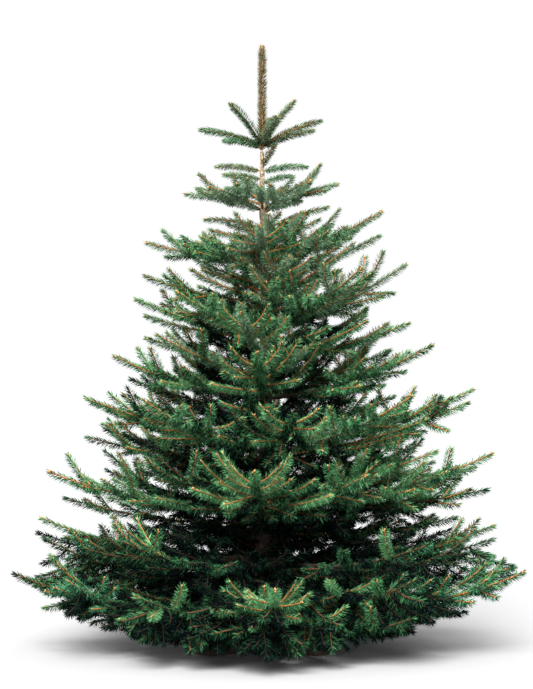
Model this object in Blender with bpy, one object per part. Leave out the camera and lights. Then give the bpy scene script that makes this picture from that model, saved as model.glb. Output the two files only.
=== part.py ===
"""A cut Christmas tree: a young spruce held upright on a plain wooden cross stand.

Metres, +Z up, with the origin at the centre of the stand's flat underside. The trunk runs whole from its
flat cut above the stand to the foot of the leader. Boughs leave it in tiers. Each mass of foliage keeps to
a space of its own, between two vertical planes and the surfaces half-way to the tiers above and below.
"""

import math
import random
from itertools import pairwise
from typing import NamedTuple

import bmesh
import bpy
from mathutils import Matrix, Vector

SEED = 24
GAP = 0.0003  # left between pieces that touch
UP = Vector((0, 0, 1))
TREE_HEIGHT = 1.80

# Stand: two boards halved together, and four braces that stand on them against the trunk
BOARD_LENGTH = 0.50
BOARD_WIDTH = 0.070
BOARD_THICK = 0.028
BOARD_CHAMFER = 0.003
BRACE_HEIGHT = 0.078
BRACE_LENGTH = 0.110
BRACE_THICK = 0.022
BRACE_TOE = 0.016  # height of a brace's outer end
CROSS_TURN_DEG = 45  # the boards lie cornerwise to the X and Y axes

# Trunk
TRUNK_FOOT = BOARD_THICK + GAP
TRUNK_TOP = 1.490
TRUNK_FOOT_RADIUS = 0.0290
TRUNK_TOP_RADIUS = 0.0062
TRUNK_SIDES = 8
TRUNK_LEAN = 0.012  # how far the trunk bows towards +X at half its height
FLARE = 0.0035  # extra radius at the butt
FLARE_HEIGHT = 0.035  # over which the butt's swelling dies away
WHORL_SWELL = 0.0014  # extra radius where boughs leave
WHORL_HALF = 0.022  # half the height of that swelling

# Growth: what a year adds to a limb, and how its side twigs leave it
YEAR = 0.135
SIDE_SHARE = 0.62  # a side twig's length, as a share of what the limb still grows beyond it
SIDE_SPREAD = math.radians(54)
SIDE_CLOSE = math.radians(34)  # the spread that is left at the twig's tip
SIDE_LIFT = math.radians(1)
LIFT_SPREAD = math.radians(13)
SHORTEST_TWIG = 0.062
HANG_SLOPE = math.radians(-48)
HANG_LENGTH = 0.115

# Shoot: a three-sided twig whose needles stand out in teeth that point forwards
LIMB_SIDES = 6
TWIG_SIDES = 3
STEM_RADIUS = 0.0048
TWIG_RADIUS = 0.0030
NEEDLE_REACH = 0.0210  # from a twig's middle to its needles' tips
ROOT_ASIDE = 0.0018  # how far to its own side of the middle a side twig's root is sunk in
CORE = 0.30  # a shoot's radius between two teeth, as a share of the teeth's
TOOTH = 0.073  # length of one tooth along the twig
TOOTH_PEAK = 0.74  # where a tooth is widest, and where it ends, as shares of its length
TOOTH_END = 0.90

SPACE_MARGIN = 0.002
TWIG_CLEARANCE = 0.034  # least distance between two twigs of a mass, away from their roots
LOWEST_NEEDLE = 0.032


class Tier(NamedTuple):
    """Boughs that leave the trunk at one height. Azimuths run from +X towards +Y."""

    name: str
    height: float
    boughs: int
    reach: float  # from the trunk's axis to the tips
    skew: float  # share by which +X reaches further than the mean, and -X less
    start_deg: float  # slope where a bough leaves the trunk
    tip_deg: float  # slope at its tip
    tilt_deg: float  # by which boughs towards +X are steeper, and those towards -X flatter
    turn_deg: float  # azimuth of the first bough
    bare: float  # share of the length that is a bare bough, or 0 for a mass on the trunk
    foot_radius: float
    hanging: int  # twigs that hang below each mass


TIERS = (
    Tier("skirt", 0.150, 5, 0.784, 0.029, -10, 25, 0, 198, 0.28, 0.0078, 5),
    Tier("low", 0.270, 5, 0.728, 0.008, -5, 20, -1, 162, 0.28, 0.0076, 0),
    Tier("lower", 0.425, 5, 0.684, 0.030, 0, 24, 2, 198, 0.0, 0.0072, 0),
    Tier("middle", 0.588, 5, 0.614, 0.070, 6, 26, 0, 162, 0.0, 0.0066, 0),
    Tier("upper", 0.748, 5, 0.484, 0.052, 6, 28, 1, 198, 0.0, 0.0058, 0),
    Tier("high", 0.945, 5, 0.426, 0.038, 12, 28, 6, 162, 0.0, 0.0052, 0),
    Tier("crown", 1.158, 5, 0.366, 0.015, 8, 22, 7, 198, 0.0, 0.0046, 0),
    Tier("neck", 1.312, 5, 0.243, -0.027, 24, 8, 4, 162, 0.0, 0.0040, 0),
)

# Short shoots on the trunk above the top tier
BRANCHLET_HEIGHT = 1.428
BRANCHLET_LENGTH = 0.130
BRANCHLET_AZIMUTHS_DEG = (176, 12)

# Leader and the ring of shoots round its foot
LEADER_RADIUS = 0.0046
LEADER_REACH = 0.0160
RING_HEIGHT = 0.012  # above the trunk's tip
RING_STAGGER = 0.004
RING_LENGTH = 0.190
RING_TURN_DEG = 184
RING_SLOPES_DEG = (26, 46, 34, 32, 62, 38, 20)  # one for each shoot
RING_FLATTEN_DEG = 22  # how much flatter a shoot is at its tip


class Arc(NamedTuple):
    """A limb's centre line, which bends evenly from its first heading to its last."""

    start: Vector
    first: Vector
    last: Vector
    length: float

    def point(self, share):
        bend = (self.last - self.first) * (share * share / 2)
        return self.start + (self.first * share + bend) * self.length

    def heading(self, share):
        return self.first.lerp(self.last, share).normalized()

    def beyond(self, share):
        """The rest of this limb as an arc of its own."""
        turned = self.first.lerp(self.last, share)
        return Arc(self.point(share), turned, self.last, self.length * (1 - share))


def axes_of(heading):
    """(side, top) of a limb: unit vectors square to it, the first one level."""
    level = heading.cross(UP) if abs(heading.z) < 0.999 else Vector((0, -1, 0))
    side = level.normalized()
    return side, side.cross(heading)


def ring_points(centre, heading, radius, sides, roll):
    """Corners of a limb's section; the first is on top where roll is 0."""
    side, top = axes_of(heading)
    turns = [roll + 2 * math.pi * k / sides for k in range(sides)]
    return [centre + (side * math.sin(turn) + top * math.cos(turn)) * radius for turn in turns]


def outward(azimuth, slope):
    """Unit heading that leaves the trunk's axis at this azimuth and slope."""
    level = math.cos(slope)
    return Vector((level * math.cos(azimuth), level * math.sin(azimuth), math.sin(slope)))


# ---------------------------------------------------------------- trunk and its surface


def trunk_centre(height):
    """The trunk's axis, which bows a little to one side and is upright over the stand and at its tip."""
    share = max(0.0, min(1.0, height / TRUNK_TOP))
    return Vector((TRUNK_LEAN * math.sin(math.pi * share) ** 2, 0, height))


def trunk_radius(height):
    """Corner radius of the trunk: its taper, the butt's swelling and a slight swelling at each tier."""
    share = (height - TRUNK_FOOT) / (TRUNK_TOP - TRUNK_FOOT)
    taper = TRUNK_FOOT_RADIUS + (TRUNK_TOP_RADIUS - TRUNK_FOOT_RADIUS) * share
    flare = FLARE * math.exp((TRUNK_FOOT - height) / FLARE_HEIGHT)
    nearest = min(abs(height - tier.height) for tier in TIERS)
    return taper + flare + WHORL_SWELL * max(0.0, 1 - nearest / WHORL_HALF)


def trunk_front(height, azimuth, aside):
    """How far the trunk's section reaches towards an azimuth, on a line this far aside of its axis."""
    toward, across = outward(azimuth, 0), outward(azimuth + math.pi / 2, 0)
    corners = ring_points(Vector(), UP, trunk_radius(height), TRUNK_SIDES, 0)
    reach = 0.0
    for corner, following in zip(corners, corners[1:] + corners[:1]):
        low, high = across.dot(corner) - aside, across.dot(following) - aside
        if low * high <= 0 and low != high:
            reach = max(reach, toward.dot(corner.lerp(following, low / (low - high))))
    return reach


def stand_off(height, azimuth, slope, radius, sides):
    """Distance from the trunk's axis to the middle of a limb's flat foot that just clears the bark."""
    foot = ring_points(Vector(), outward(0, slope), radius, sides, 0)
    edge = [low.lerp(high, k / 6) for low, high in pairwise([*foot, foot[0]]) for k in range(6)]
    points = [point * share for point in edge for share in (1, 0.5)]
    reaches = [trunk_front(height + point.z, azimuth, point.y) - point.x for point in points]
    return max(reaches) + GAP


def trunk_heights():
    """Heights of the trunk's rings: three at each tier's swelling, and the butt's and the tip's."""
    heights = {TRUNK_FOOT, TRUNK_FOOT + FLARE_HEIGHT, TRUNK_TOP}
    for tier in TIERS:
        heights |= {tier.height - WHORL_HALF, tier.height, tier.height + WHORL_HALF}
    return sorted(heights)


# ---------------------------------------------------------------- the space of each mass


def slopes(tier, azimuth):
    """A bough's slope in radians where it leaves the trunk and at its tip."""
    tilt = tier.tilt_deg * math.cos(azimuth)
    return math.radians(tier.start_deg + tilt), math.radians(tier.tip_deg + tilt)


def bough_arc(tier, azimuth):
    """Centre line of a bough, from the trunk's face to the tip."""
    start, tip = slopes(tier, azimuth)
    sides = LIMB_SIDES if tier.bare else TWIG_SIDES
    from_axis = stand_off(tier.height, azimuth, start, tier.foot_radius, sides)
    foot = trunk_centre(tier.height) + outward(azimuth, 0) * from_axis
    reach = tier.reach * (1 + tier.skew * math.cos(azimuth)) - from_axis
    length = reach / ((math.cos(start) + math.cos(tip)) / 2)
    return Arc(foot, outward(azimuth, start), outward(azimuth, tip), length)


def tier_level(index, radius, azimuth):
    """Height of a tier's boughs at this distance from the axis, carried on past their tips."""
    tier = TIERS[index]
    share = radius / tier.reach
    start, tip = (math.sin(slope) for slope in slopes(tier, azimuth))
    return tier.height + tier.reach * (start * share + (tip - start) * share * share / 2)


class Space(NamedTuple):
    """What one mass may fill: a wedge of its tier, from half-way down to the next tier to half-way up."""

    tier_index: int
    azimuth: float
    right_edge: float
    left_edge: float

    def holds(self, point):
        across = point - trunk_centre(point.z)
        radius, azimuth = across.length, math.atan2(across.y, across.x)
        if radius < trunk_radius(point.z) + SPACE_MARGIN or point.z < LOWEST_NEEDLE:
            return False
        turned = math.remainder(azimuth - self.azimuth, 2 * math.pi)
        room = SPACE_MARGIN / radius
        if not self.right_edge + room < turned < self.left_edge - room:
            return False
        level = tier_level(self.tier_index, radius, azimuth)
        if self.tier_index > 0:
            below = tier_level(self.tier_index - 1, radius, azimuth)
            if point.z < (level + below) / 2 + SPACE_MARGIN:
                return False
        if self.tier_index < len(TIERS) - 1:
            above = tier_level(self.tier_index + 1, radius, azimuth)
            return point.z < (level + above) / 2 - SPACE_MARGIN
        return point.z < BRANCHLET_HEIGHT - NEEDLE_REACH


def tier_spaces(index):
    """One space for each bough of a tier, whose azimuths are spaced evenly and then moved a little."""
    tier = TIERS[index]
    chance = random.Random(SEED + index)
    step = 2 * math.pi / tier.boughs
    turns = [
        math.radians(tier.turn_deg) + step * (k + chance.uniform(-0.055, 0.055))
        for k in range(tier.boughs)
    ]
    following = turns[1:] + [turns[0] + 2 * math.pi]
    before = [turns[-1] - 2 * math.pi] + turns[:-1]
    return [
        Space(index, turn, (last - turn) / 2, (after - turn) / 2)
        for last, turn, after in zip(before, turns, following)
    ]


class OpenSpace(NamedTuple):
    """The space of foliage that nothing else comes near."""

    def holds(self, _point):
        return True


# ---------------------------------------------------------------- meshes


def link_object(name, mesh, material, collection=None):
    obj = bpy.data.objects.new(name, mesh)
    obj.data.materials.append(material)
    (collection or bpy.context.scene.collection).objects.link(obj)
    return obj


def finish_mesh(bm, name, smooth=False):
    mesh = bpy.data.meshes.new(name)
    bmesh.ops.recalc_face_normals(bm, faces=bm.faces)
    bm.to_mesh(mesh)
    bm.free()
    if smooth:
        mesh.shade_smooth()
        mesh.set_sharp_from_angle(angle=math.radians(50))
    return mesh


def limb_mesh(name, stations, sides, smooth=False):
    """A closed tapering tube through stations, each a (point, heading, radius)."""
    bm = bmesh.new()
    rings = [[bm.verts.new(corner) for corner in ring_points(*station, sides, 0)] for station in stations]
    for low, high in pairwise(rings):
        for i, vert in enumerate(low):
            j = (i + 1) % sides
            bm.faces.new((vert, low[j], high[j], high[i]))
    bm.faces.new(rings[0])
    bm.faces.new(rings[-1])
    return finish_mesh(bm, name, smooth)


def arc_stations(arc, foot_radius, tip_radius, count, end=1.0):
    """Stations from a limb's foot to the share end of its length, tapering to tip_radius there."""
    shares = [end * k / (count - 1) for k in range(count)]
    return [
        (arc.point(s), arc.heading(s), foot_radius + (tip_radius - foot_radius) * s / end)
        for s in shares
    ]


class Shoot(NamedTuple):
    """A three-sided twig along an arc, with needles that stand out in teeth beyond its bare share."""

    arc: Arc
    bare: float
    root_radius: float
    needle_reach: float
    roll: float

    def teeth(self):
        return max(2, int(self.arc.length * (1 - self.bare) / TOOTH))

    def nearest_neck(self, share):
        """The place nearest to a share of the length where the shoot is slim: its foot, or between teeth."""
        pitch = (1 - self.bare) / self.teeth()
        tooth = max(0, min(self.teeth() - 2, round((share - self.bare) / pitch - TOOTH_END)))
        return self.bare + pitch * (tooth + TOOTH_END)

    def rings(self):
        """(share, radius) of each ring, from the root to just short of the tip."""
        teeth = self.teeth()
        pitch = (1 - self.bare) / teeth
        rings = [(0.0, self.root_radius)]
        if self.bare:
            rings.append((self.bare, self.root_radius * 0.9))
        for tooth in range(teeth):
            begin = self.bare + pitch * tooth
            reach = self.needle_reach * (1 - 0.4 * (tooth / teeth) ** 2)
            rings.append((begin + pitch * TOOTH_PEAK, reach))
            if tooth < teeth - 1:
                rings.append((begin + pitch * TOOTH_END, reach * CORE))
        return rings

    def corners(self, share, radius):
        return ring_points(self.arc.point(share), self.arc.heading(share), radius, TWIG_SIDES, self.roll)

    def outer_points(self):
        """The tips of its needles and of the shoot itself."""
        points = [point for ring in self.rings()[1:] for point in self.corners(*ring)]
        return [*points, self.arc.point(1)]

    def mesh(self):
        bm = bmesh.new()
        rings = [[bm.verts.new(point) for point in self.corners(*ring)] for ring in self.rings()]
        tip = bm.verts.new(self.arc.point(1))
        for low, high in pairwise(rings):
            for i, vert in enumerate(low):
                j = (i + 1) % TWIG_SIDES
                bm.faces.new((vert, low[j], high[j]))
                bm.faces.new((vert, high[j], high[i]))
        for i, vert in enumerate(rings[-1]):
            bm.faces.new((vert, rings[-1][(i + 1) % TWIG_SIDES], tip))
        bm.faces.new(rings[0])
        return finish_mesh(bm, "shoot")


# ---------------------------------------------------------------- growth


def years_of(length):
    return max(1, round(length / YEAR))


def side_twig(limb, share, sign, length, lift):
    """A twig that leaves a limb to one side and turns forwards along it."""
    heading = limb.heading(share)
    side, top = axes_of(heading)
    first = heading * math.cos(SIDE_SPREAD) + side * (sign * math.sin(SIDE_SPREAD)) + top * lift
    last = heading * math.cos(SIDE_CLOSE) + side * (sign * math.sin(SIDE_CLOSE)) + top * (lift + 0.1)
    root = limb.point(share) + side * (sign * ROOT_ASIDE)
    return Arc(root, first.normalized(), last.normalized(), length)


def side_twigs(limb, first_share, chance):
    """The pairs of twigs that leave a shoot at each year's node, longest where it is oldest."""
    years = years_of(limb.arc.length * (1 - first_share))
    twigs = []
    for year in range(years):
        share = limb.nearest_neck(first_share + (1 - first_share) * year / years)
        for sign in (-1, 1):
            length = SIDE_SHARE * limb.arc.length * (1 - share) * chance.uniform(0.88, 1.1)
            lift = math.tan(SIDE_LIFT + chance.uniform(-LIFT_SPREAD, LIFT_SPREAD))
            twigs.append(side_twig(limb.arc, share, sign, length, lift))
    return [twig for twig in twigs if twig.length > SHORTEST_TWIG]


def hanging_twigs(stem, count, chance):
    """Twigs that hang from the underside of a stem, turned alternately to either side."""
    twigs = []
    limb = stem.arc
    for k in range(count):
        share = 0.04 + 0.70 * k / count
        heading = limb.heading(share)
        side, top = axes_of(heading)
        lean = side * ((-1) ** k * chance.uniform(0.3, 0.7))
        fall = heading * math.cos(HANG_SLOPE) + top * math.sin(HANG_SLOPE) + lean
        last = heading + top * math.sin(HANG_SLOPE) * 0.5 + lean
        length = HANG_LENGTH * chance.uniform(0.85, 1.15)
        twigs.append(Arc(limb.point(share), fall.normalized(), last.normalized(), length))
    return twigs


class Growth:
    """The shoots of one mass before they are joined, and the space that they keep to."""

    def __init__(self, stem, space):
        self.space = space
        self.shoots = [stem]
        self.axis_points = [stem.arc.point(k / 24) for k in range(25)]

    def crowded(self, arc):
        """Whether a twig would come close to an earlier one beyond the needles at its root."""
        points = [arc.point(share) for share in (0.4, 0.6, 0.8, 1.0)]
        away = [point for point in points if (point - arc.start).length > 2 * NEEDLE_REACH]
        return any(
            (point - other).length < TWIG_CLEARANCE for point in away for other in self.axis_points
        )

    def add(self, shoot):
        """Adds a shoot, or a shorter one where the whole would leave the space; None if neither fits."""
        for shorter in (1.0, 0.85, 0.7, 0.55):
            arc = shoot.arc._replace(length=shoot.arc.length * shorter)
            if arc.length < SHORTEST_TWIG or self.crowded(arc):
                continue
            cut = shoot._replace(arc=arc)
            if all(self.space.holds(point) for point in cut.outer_points()):
                self.shoots.append(cut)
                self.axis_points += [arc.point(k / 12) for k in range(1, 13)]
                return cut
        return None


def grow(stem, foot_radius, space, bare, first_node, hanging, chance):
    """A mass that branches from one stem, with side twigs, and twigs of the longer ones."""
    main = Shoot(stem, bare, foot_radius, NEEDLE_REACH * 1.05, 0.0)
    growth = Growth(main, space)
    for twig in side_twigs(main, first_node, chance):
        long_twig = years_of(twig.length) > 1
        roll = chance.uniform(-0.3, 0.3)
        shoot = growth.add(Shoot(twig, 0.14 if long_twig else 0.0, TWIG_RADIUS, NEEDLE_REACH, roll))
        if shoot is None or not long_twig:
            continue
        for small in side_twigs(shoot, 0.40, chance)[:2]:
            roll = chance.uniform(-0.3, 0.3)
            growth.add(Shoot(small, 0.0, TWIG_RADIUS * 0.8, NEEDLE_REACH * 0.92, roll))
    for twig in hanging_twigs(main, hanging, chance):
        roll = chance.uniform(-0.3, 0.3)
        growth.add(Shoot(twig, 0.0, TWIG_RADIUS * 0.8, NEEDLE_REACH * 0.92, roll))
    return growth


def fuse(name, shoots, material):
    """Joins a mass's stem and the shoots that branch from it into one solid."""
    obj = link_object(name, shoots[0].mesh(), material)
    if len(shoots) == 1:
        return obj
    parts = bpy.data.collections.new(name + "_parts")
    bpy.context.scene.collection.children.link(parts)
    for shoot in shoots[1:]:
        link_object("part", shoot.mesh(), material, parts)
    union = obj.modifiers.new("join", "BOOLEAN")
    union.operation = "UNION"
    union.operand_type = "COLLECTION"
    union.collection = parts
    union.solver = "MANIFOLD"
    joined = bpy.data.meshes.new_from_object(obj.evaluated_get(bpy.context.evaluated_depsgraph_get()))
    obj.modifiers.remove(union)
    obj.data = joined
    for part in list(parts.objects):
        bpy.data.objects.remove(part)
    bpy.data.collections.remove(parts)
    keep_largest_skin(obj.data)
    return obj


def keep_largest_skin(mesh):
    """Drops loose scraps and fills sealed hollows, by keeping only the largest connected skin."""
    bm = bmesh.new()
    bm.from_mesh(mesh)
    unseen, skins = set(bm.verts), []
    while unseen:
        skin, front = set(), [unseen.pop()]
        while front:
            vert = front.pop()
            skin.add(vert)
            linked = {edge.other_vert(vert) for edge in vert.link_edges} & unseen
            unseen -= linked
            front.extend(linked)
        skins.append(skin)
    largest = max(skins, key=len)
    loose = [vert for vert in bm.verts if vert not in largest]
    bmesh.ops.delete(bm, geom=loose, context="VERTS")
    bm.to_mesh(mesh)
    bm.free()


# ---------------------------------------------------------------- sub-parts


def make_material(name, colour, roughness):
    material = bpy.data.materials.new(name)
    material.use_nodes = True
    shader = material.node_tree.nodes["Principled BSDF"]
    shader.inputs["Base Color"].default_value = (*colour, 1)
    shader.inputs["Roughness"].default_value = roughness
    shader.inputs["Metallic"].default_value = 0
    return material


def box_mesh(name, size, centre):
    bm = bmesh.new()
    place = Matrix.Translation(centre) @ Matrix.Diagonal((*size, 1))
    bmesh.ops.create_cube(bm, size=1, matrix=place)
    return finish_mesh(bm, name)


def make_board(name, turn_deg, notch_from, notch_to, wood):
    """One board of the cross, with a notch from notch_from to notch_to where the other passes."""
    centre = Vector((0, 0, BOARD_THICK / 2))
    board = link_object(name, box_mesh(name, (BOARD_LENGTH, BOARD_WIDTH, BOARD_THICK), centre), wood)
    edges = board.modifiers.new("chamfer", "BEVEL")
    edges.width = BOARD_CHAMFER
    edges.segments = 1
    wide = BOARD_WIDTH + 2 * GAP
    notch_centre = Vector((0, 0, (notch_from + notch_to) / 2))
    cutter_mesh = box_mesh("notch", (wide, 2 * BOARD_WIDTH, notch_to - notch_from), notch_centre)
    cutter = link_object(name + "_notch", cutter_mesh, wood)
    cutter.hide_render = True
    cutter.display_type = "WIRE"
    lap = board.modifiers.new("lap", "BOOLEAN")
    lap.object = cutter
    board.rotation_euler.z = cutter.rotation_euler.z = math.radians(turn_deg)
    return board


def make_brace(name, azimuth_deg, wood):
    """A triangular brace on one arm of the cross, upright against the trunk."""
    azimuth = math.radians(azimuth_deg)
    lean = trunk_centre(TRUNK_FOOT + BRACE_HEIGHT).x * math.cos(azimuth)
    asides = [BRACE_THICK * (k / 8 - 0.5) for k in range(9)]
    inner = max(trunk_front(TRUNK_FOOT, azimuth, aside) for aside in asides) + max(0.0, lean) + GAP
    foot = BOARD_THICK + GAP
    profile = [
        (inner, foot),
        (inner + BRACE_LENGTH, foot),
        (inner + BRACE_LENGTH, foot + BRACE_TOE),
        (inner + BRACE_TOE, foot + BRACE_HEIGHT),
        (inner, foot + BRACE_HEIGHT),
    ]
    bm = bmesh.new()
    outline = bm.faces.new([bm.verts.new((x, -BRACE_THICK / 2, z)) for x, z in profile])
    swept = bmesh.ops.extrude_face_region(bm, geom=[outline])["geom"]
    moved = [item for item in swept if isinstance(item, bmesh.types.BMVert)]
    bmesh.ops.translate(bm, verts=moved, vec=(0, BRACE_THICK, 0))
    brace = link_object(name, finish_mesh(bm, name), wood)
    brace.rotation_euler.z = azimuth
    return brace


def make_stand(wood):
    half = BOARD_THICK / 2
    over = 0.01  # by which a notch's cutter passes the board's face
    make_board("stand_board_lower", CROSS_TURN_DEG, half - GAP / 2, BOARD_THICK + over, wood)
    make_board("stand_board_upper", CROSS_TURN_DEG + 90, -over, half + GAP / 2, wood)
    for k in range(4):
        make_brace(f"stand_brace_{k + 1}", CROSS_TURN_DEG + 90 * k, wood)


def make_trunk(bark):
    stations = [(trunk_centre(height), UP, trunk_radius(height)) for height in trunk_heights()]
    return link_object("trunk", limb_mesh("trunk", stations, TRUNK_SIDES, smooth=True), bark)


def make_tier(index, bark, needles):
    """A tier's boughs, each with the mass of foliage that grows on from it."""
    tier = TIERS[index]
    for k, space in enumerate(tier_spaces(index)):
        chance = random.Random(SEED * 100 + index * 10 + k)
        stem = bough_arc(tier, space.azimuth)
        foot_radius, bare, first_node = tier.foot_radius, 0.16, 0.22
        if tier.bare:
            name = f"bough_{tier.name}_{k + 1}"
            stations = arc_stations(stem, tier.foot_radius, STEM_RADIUS, 4, tier.bare)
            link_object(name, limb_mesh(name, stations, LIMB_SIDES, smooth=True), bark)
            stem = stem.beyond(tier.bare + GAP / stem.length)
            foot_radius, bare, first_node = STEM_RADIUS, 0.04, 0.06
        growth = grow(stem, foot_radius, space, bare, first_node, tier.hanging, chance)
        fuse(f"foliage_{tier.name}_{k + 1}", growth.shoots, needles)


def make_branchlets(needles):
    """Short single shoots on the bare trunk above the top tier."""
    for k, azimuth_deg in enumerate(BRANCHLET_AZIMUTHS_DEG):
        azimuth, slope = math.radians(azimuth_deg), math.radians(20)
        from_axis = stand_off(BRANCHLET_HEIGHT, azimuth, slope, TWIG_RADIUS, TWIG_SIDES)
        foot = trunk_centre(BRANCHLET_HEIGHT) + outward(azimuth, 0) * from_axis
        stem = Arc(foot, outward(azimuth, slope), outward(azimuth, -slope / 3), BRANCHLET_LENGTH)
        fuse(f"foliage_branchlet_{k + 1}", [Shoot(stem, 0.1, TWIG_RADIUS, NEEDLE_REACH * 0.8, 0.0)], needles)


def make_leader(needles):
    """The leader, upright on the trunk's tip, with a ring of shoots that branch from its foot."""
    foot = UP * (TRUNK_TOP + GAP)
    leader = Arc(foot, UP, UP, TREE_HEIGHT - foot.z)
    shoots = [Shoot(leader, 0.10, LEADER_RADIUS, LEADER_REACH, 0.2)]
    chance = random.Random(SEED)
    for k, slope_deg in enumerate(RING_SLOPES_DEG):
        azimuth = math.radians(RING_TURN_DEG + k * 360 / len(RING_SLOPES_DEG))
        first = outward(azimuth, math.radians(slope_deg))
        last = outward(azimuth, math.radians(slope_deg - RING_FLATTEN_DEG))
        start = foot + UP * (RING_HEIGHT + RING_STAGGER * (k % 3))
        arc = Arc(start, first, last, RING_LENGTH * chance.uniform(0.88, 1.06))
        shoots.append(Shoot(arc, 0.1, TWIG_RADIUS, NEEDLE_REACH * 0.8, 0.0))
    fuse("foliage_leader", shoots, needles)


def main():
    for obj in list(bpy.data.objects):
        bpy.data.objects.remove(obj)
    bark = make_material("bark", (0.27, 0.15, 0.08), 0.85)
    needles = make_material("needles", (0.03, 0.12, 0.05), 0.55)
    wood = make_material("sawn_wood", (0.62, 0.44, 0.26), 0.7)
    make_stand(wood)
    make_trunk(bark)
    for index in range(len(TIERS)):
        make_tier(index, bark, needles)
    make_branchlets(needles)
    make_leader(needles)


main()
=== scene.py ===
"""The looks of a cut Christmas tree on its wooden cross stand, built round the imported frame.

Metres, +Z up, with the origin at the centre of the stand's flat underside. Limbs grow by the rule
that made the solids, and go on from them to finer twigs. Needles, twigs and buds are joined meshes.
"""

import logging
import math
import random
from collections.abc import Callable, Iterable, Sequence
from dataclasses import dataclass, field
from enum import Enum
from itertools import pairwise, product
from typing import Any, NamedTuple

import bmesh
import bpy
import numpy as np
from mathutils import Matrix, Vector


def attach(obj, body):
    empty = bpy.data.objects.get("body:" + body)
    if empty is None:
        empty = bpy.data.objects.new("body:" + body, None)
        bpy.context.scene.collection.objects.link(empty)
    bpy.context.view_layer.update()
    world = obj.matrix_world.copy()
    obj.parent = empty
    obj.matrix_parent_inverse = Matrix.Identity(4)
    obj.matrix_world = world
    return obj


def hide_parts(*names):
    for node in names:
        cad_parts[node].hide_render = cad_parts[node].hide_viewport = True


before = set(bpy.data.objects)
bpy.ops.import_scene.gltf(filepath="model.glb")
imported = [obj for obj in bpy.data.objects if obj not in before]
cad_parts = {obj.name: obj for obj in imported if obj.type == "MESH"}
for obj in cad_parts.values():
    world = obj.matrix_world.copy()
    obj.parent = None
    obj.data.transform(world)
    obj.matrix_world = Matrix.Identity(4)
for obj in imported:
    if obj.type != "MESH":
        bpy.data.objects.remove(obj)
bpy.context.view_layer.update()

logging.basicConfig(level=logging.INFO, format="%(message)s")
LOG = logging.getLogger("tree")

SEED = 24
GAP = 0.0003
UP = Vector((0, 0, 1))
Triple = tuple[float, float, float]
Colour = Triple
Piece = bpy.types.Object
Chance = random.Random


# ---- shader recipes


class Value:
    """A shader socket that takes part in Python arithmetic; each operator adds a Math node."""

    def __init__(self, recipe: "Recipe", socket: bpy.types.NodeSocket) -> None:
        """Wrap a socket of a recipe's node tree."""
        self.recipe = recipe
        self.socket = socket

    def _math(self, operation: str, first: Any, second: Any) -> "Value":
        """Add a Math node.

        Args:
            operation: The node's operation, such as ADD.
            first: Left value, a Value or a number.
            second: Right value, a Value or a number.

        Returns:
            The node's result.
        """
        return self.recipe.node("ShaderNodeMath", {"operation": operation}, {0: first, 1: second})

    def __add__(self, other: Any) -> "Value":
        """Sum."""
        return self._math("ADD", self, other)

    def __sub__(self, other: Any) -> "Value":
        """Difference."""
        return self._math("SUBTRACT", self, other)

    def __rsub__(self, other: Any) -> "Value":
        """Difference from a number, as in 1 - mask."""
        return self._math("SUBTRACT", other, self)

    def __mul__(self, other: Any) -> "Value":
        """Product."""
        return self._math("MULTIPLY", self, other)

    __radd__ = __add__
    __rmul__ = __mul__


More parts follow.
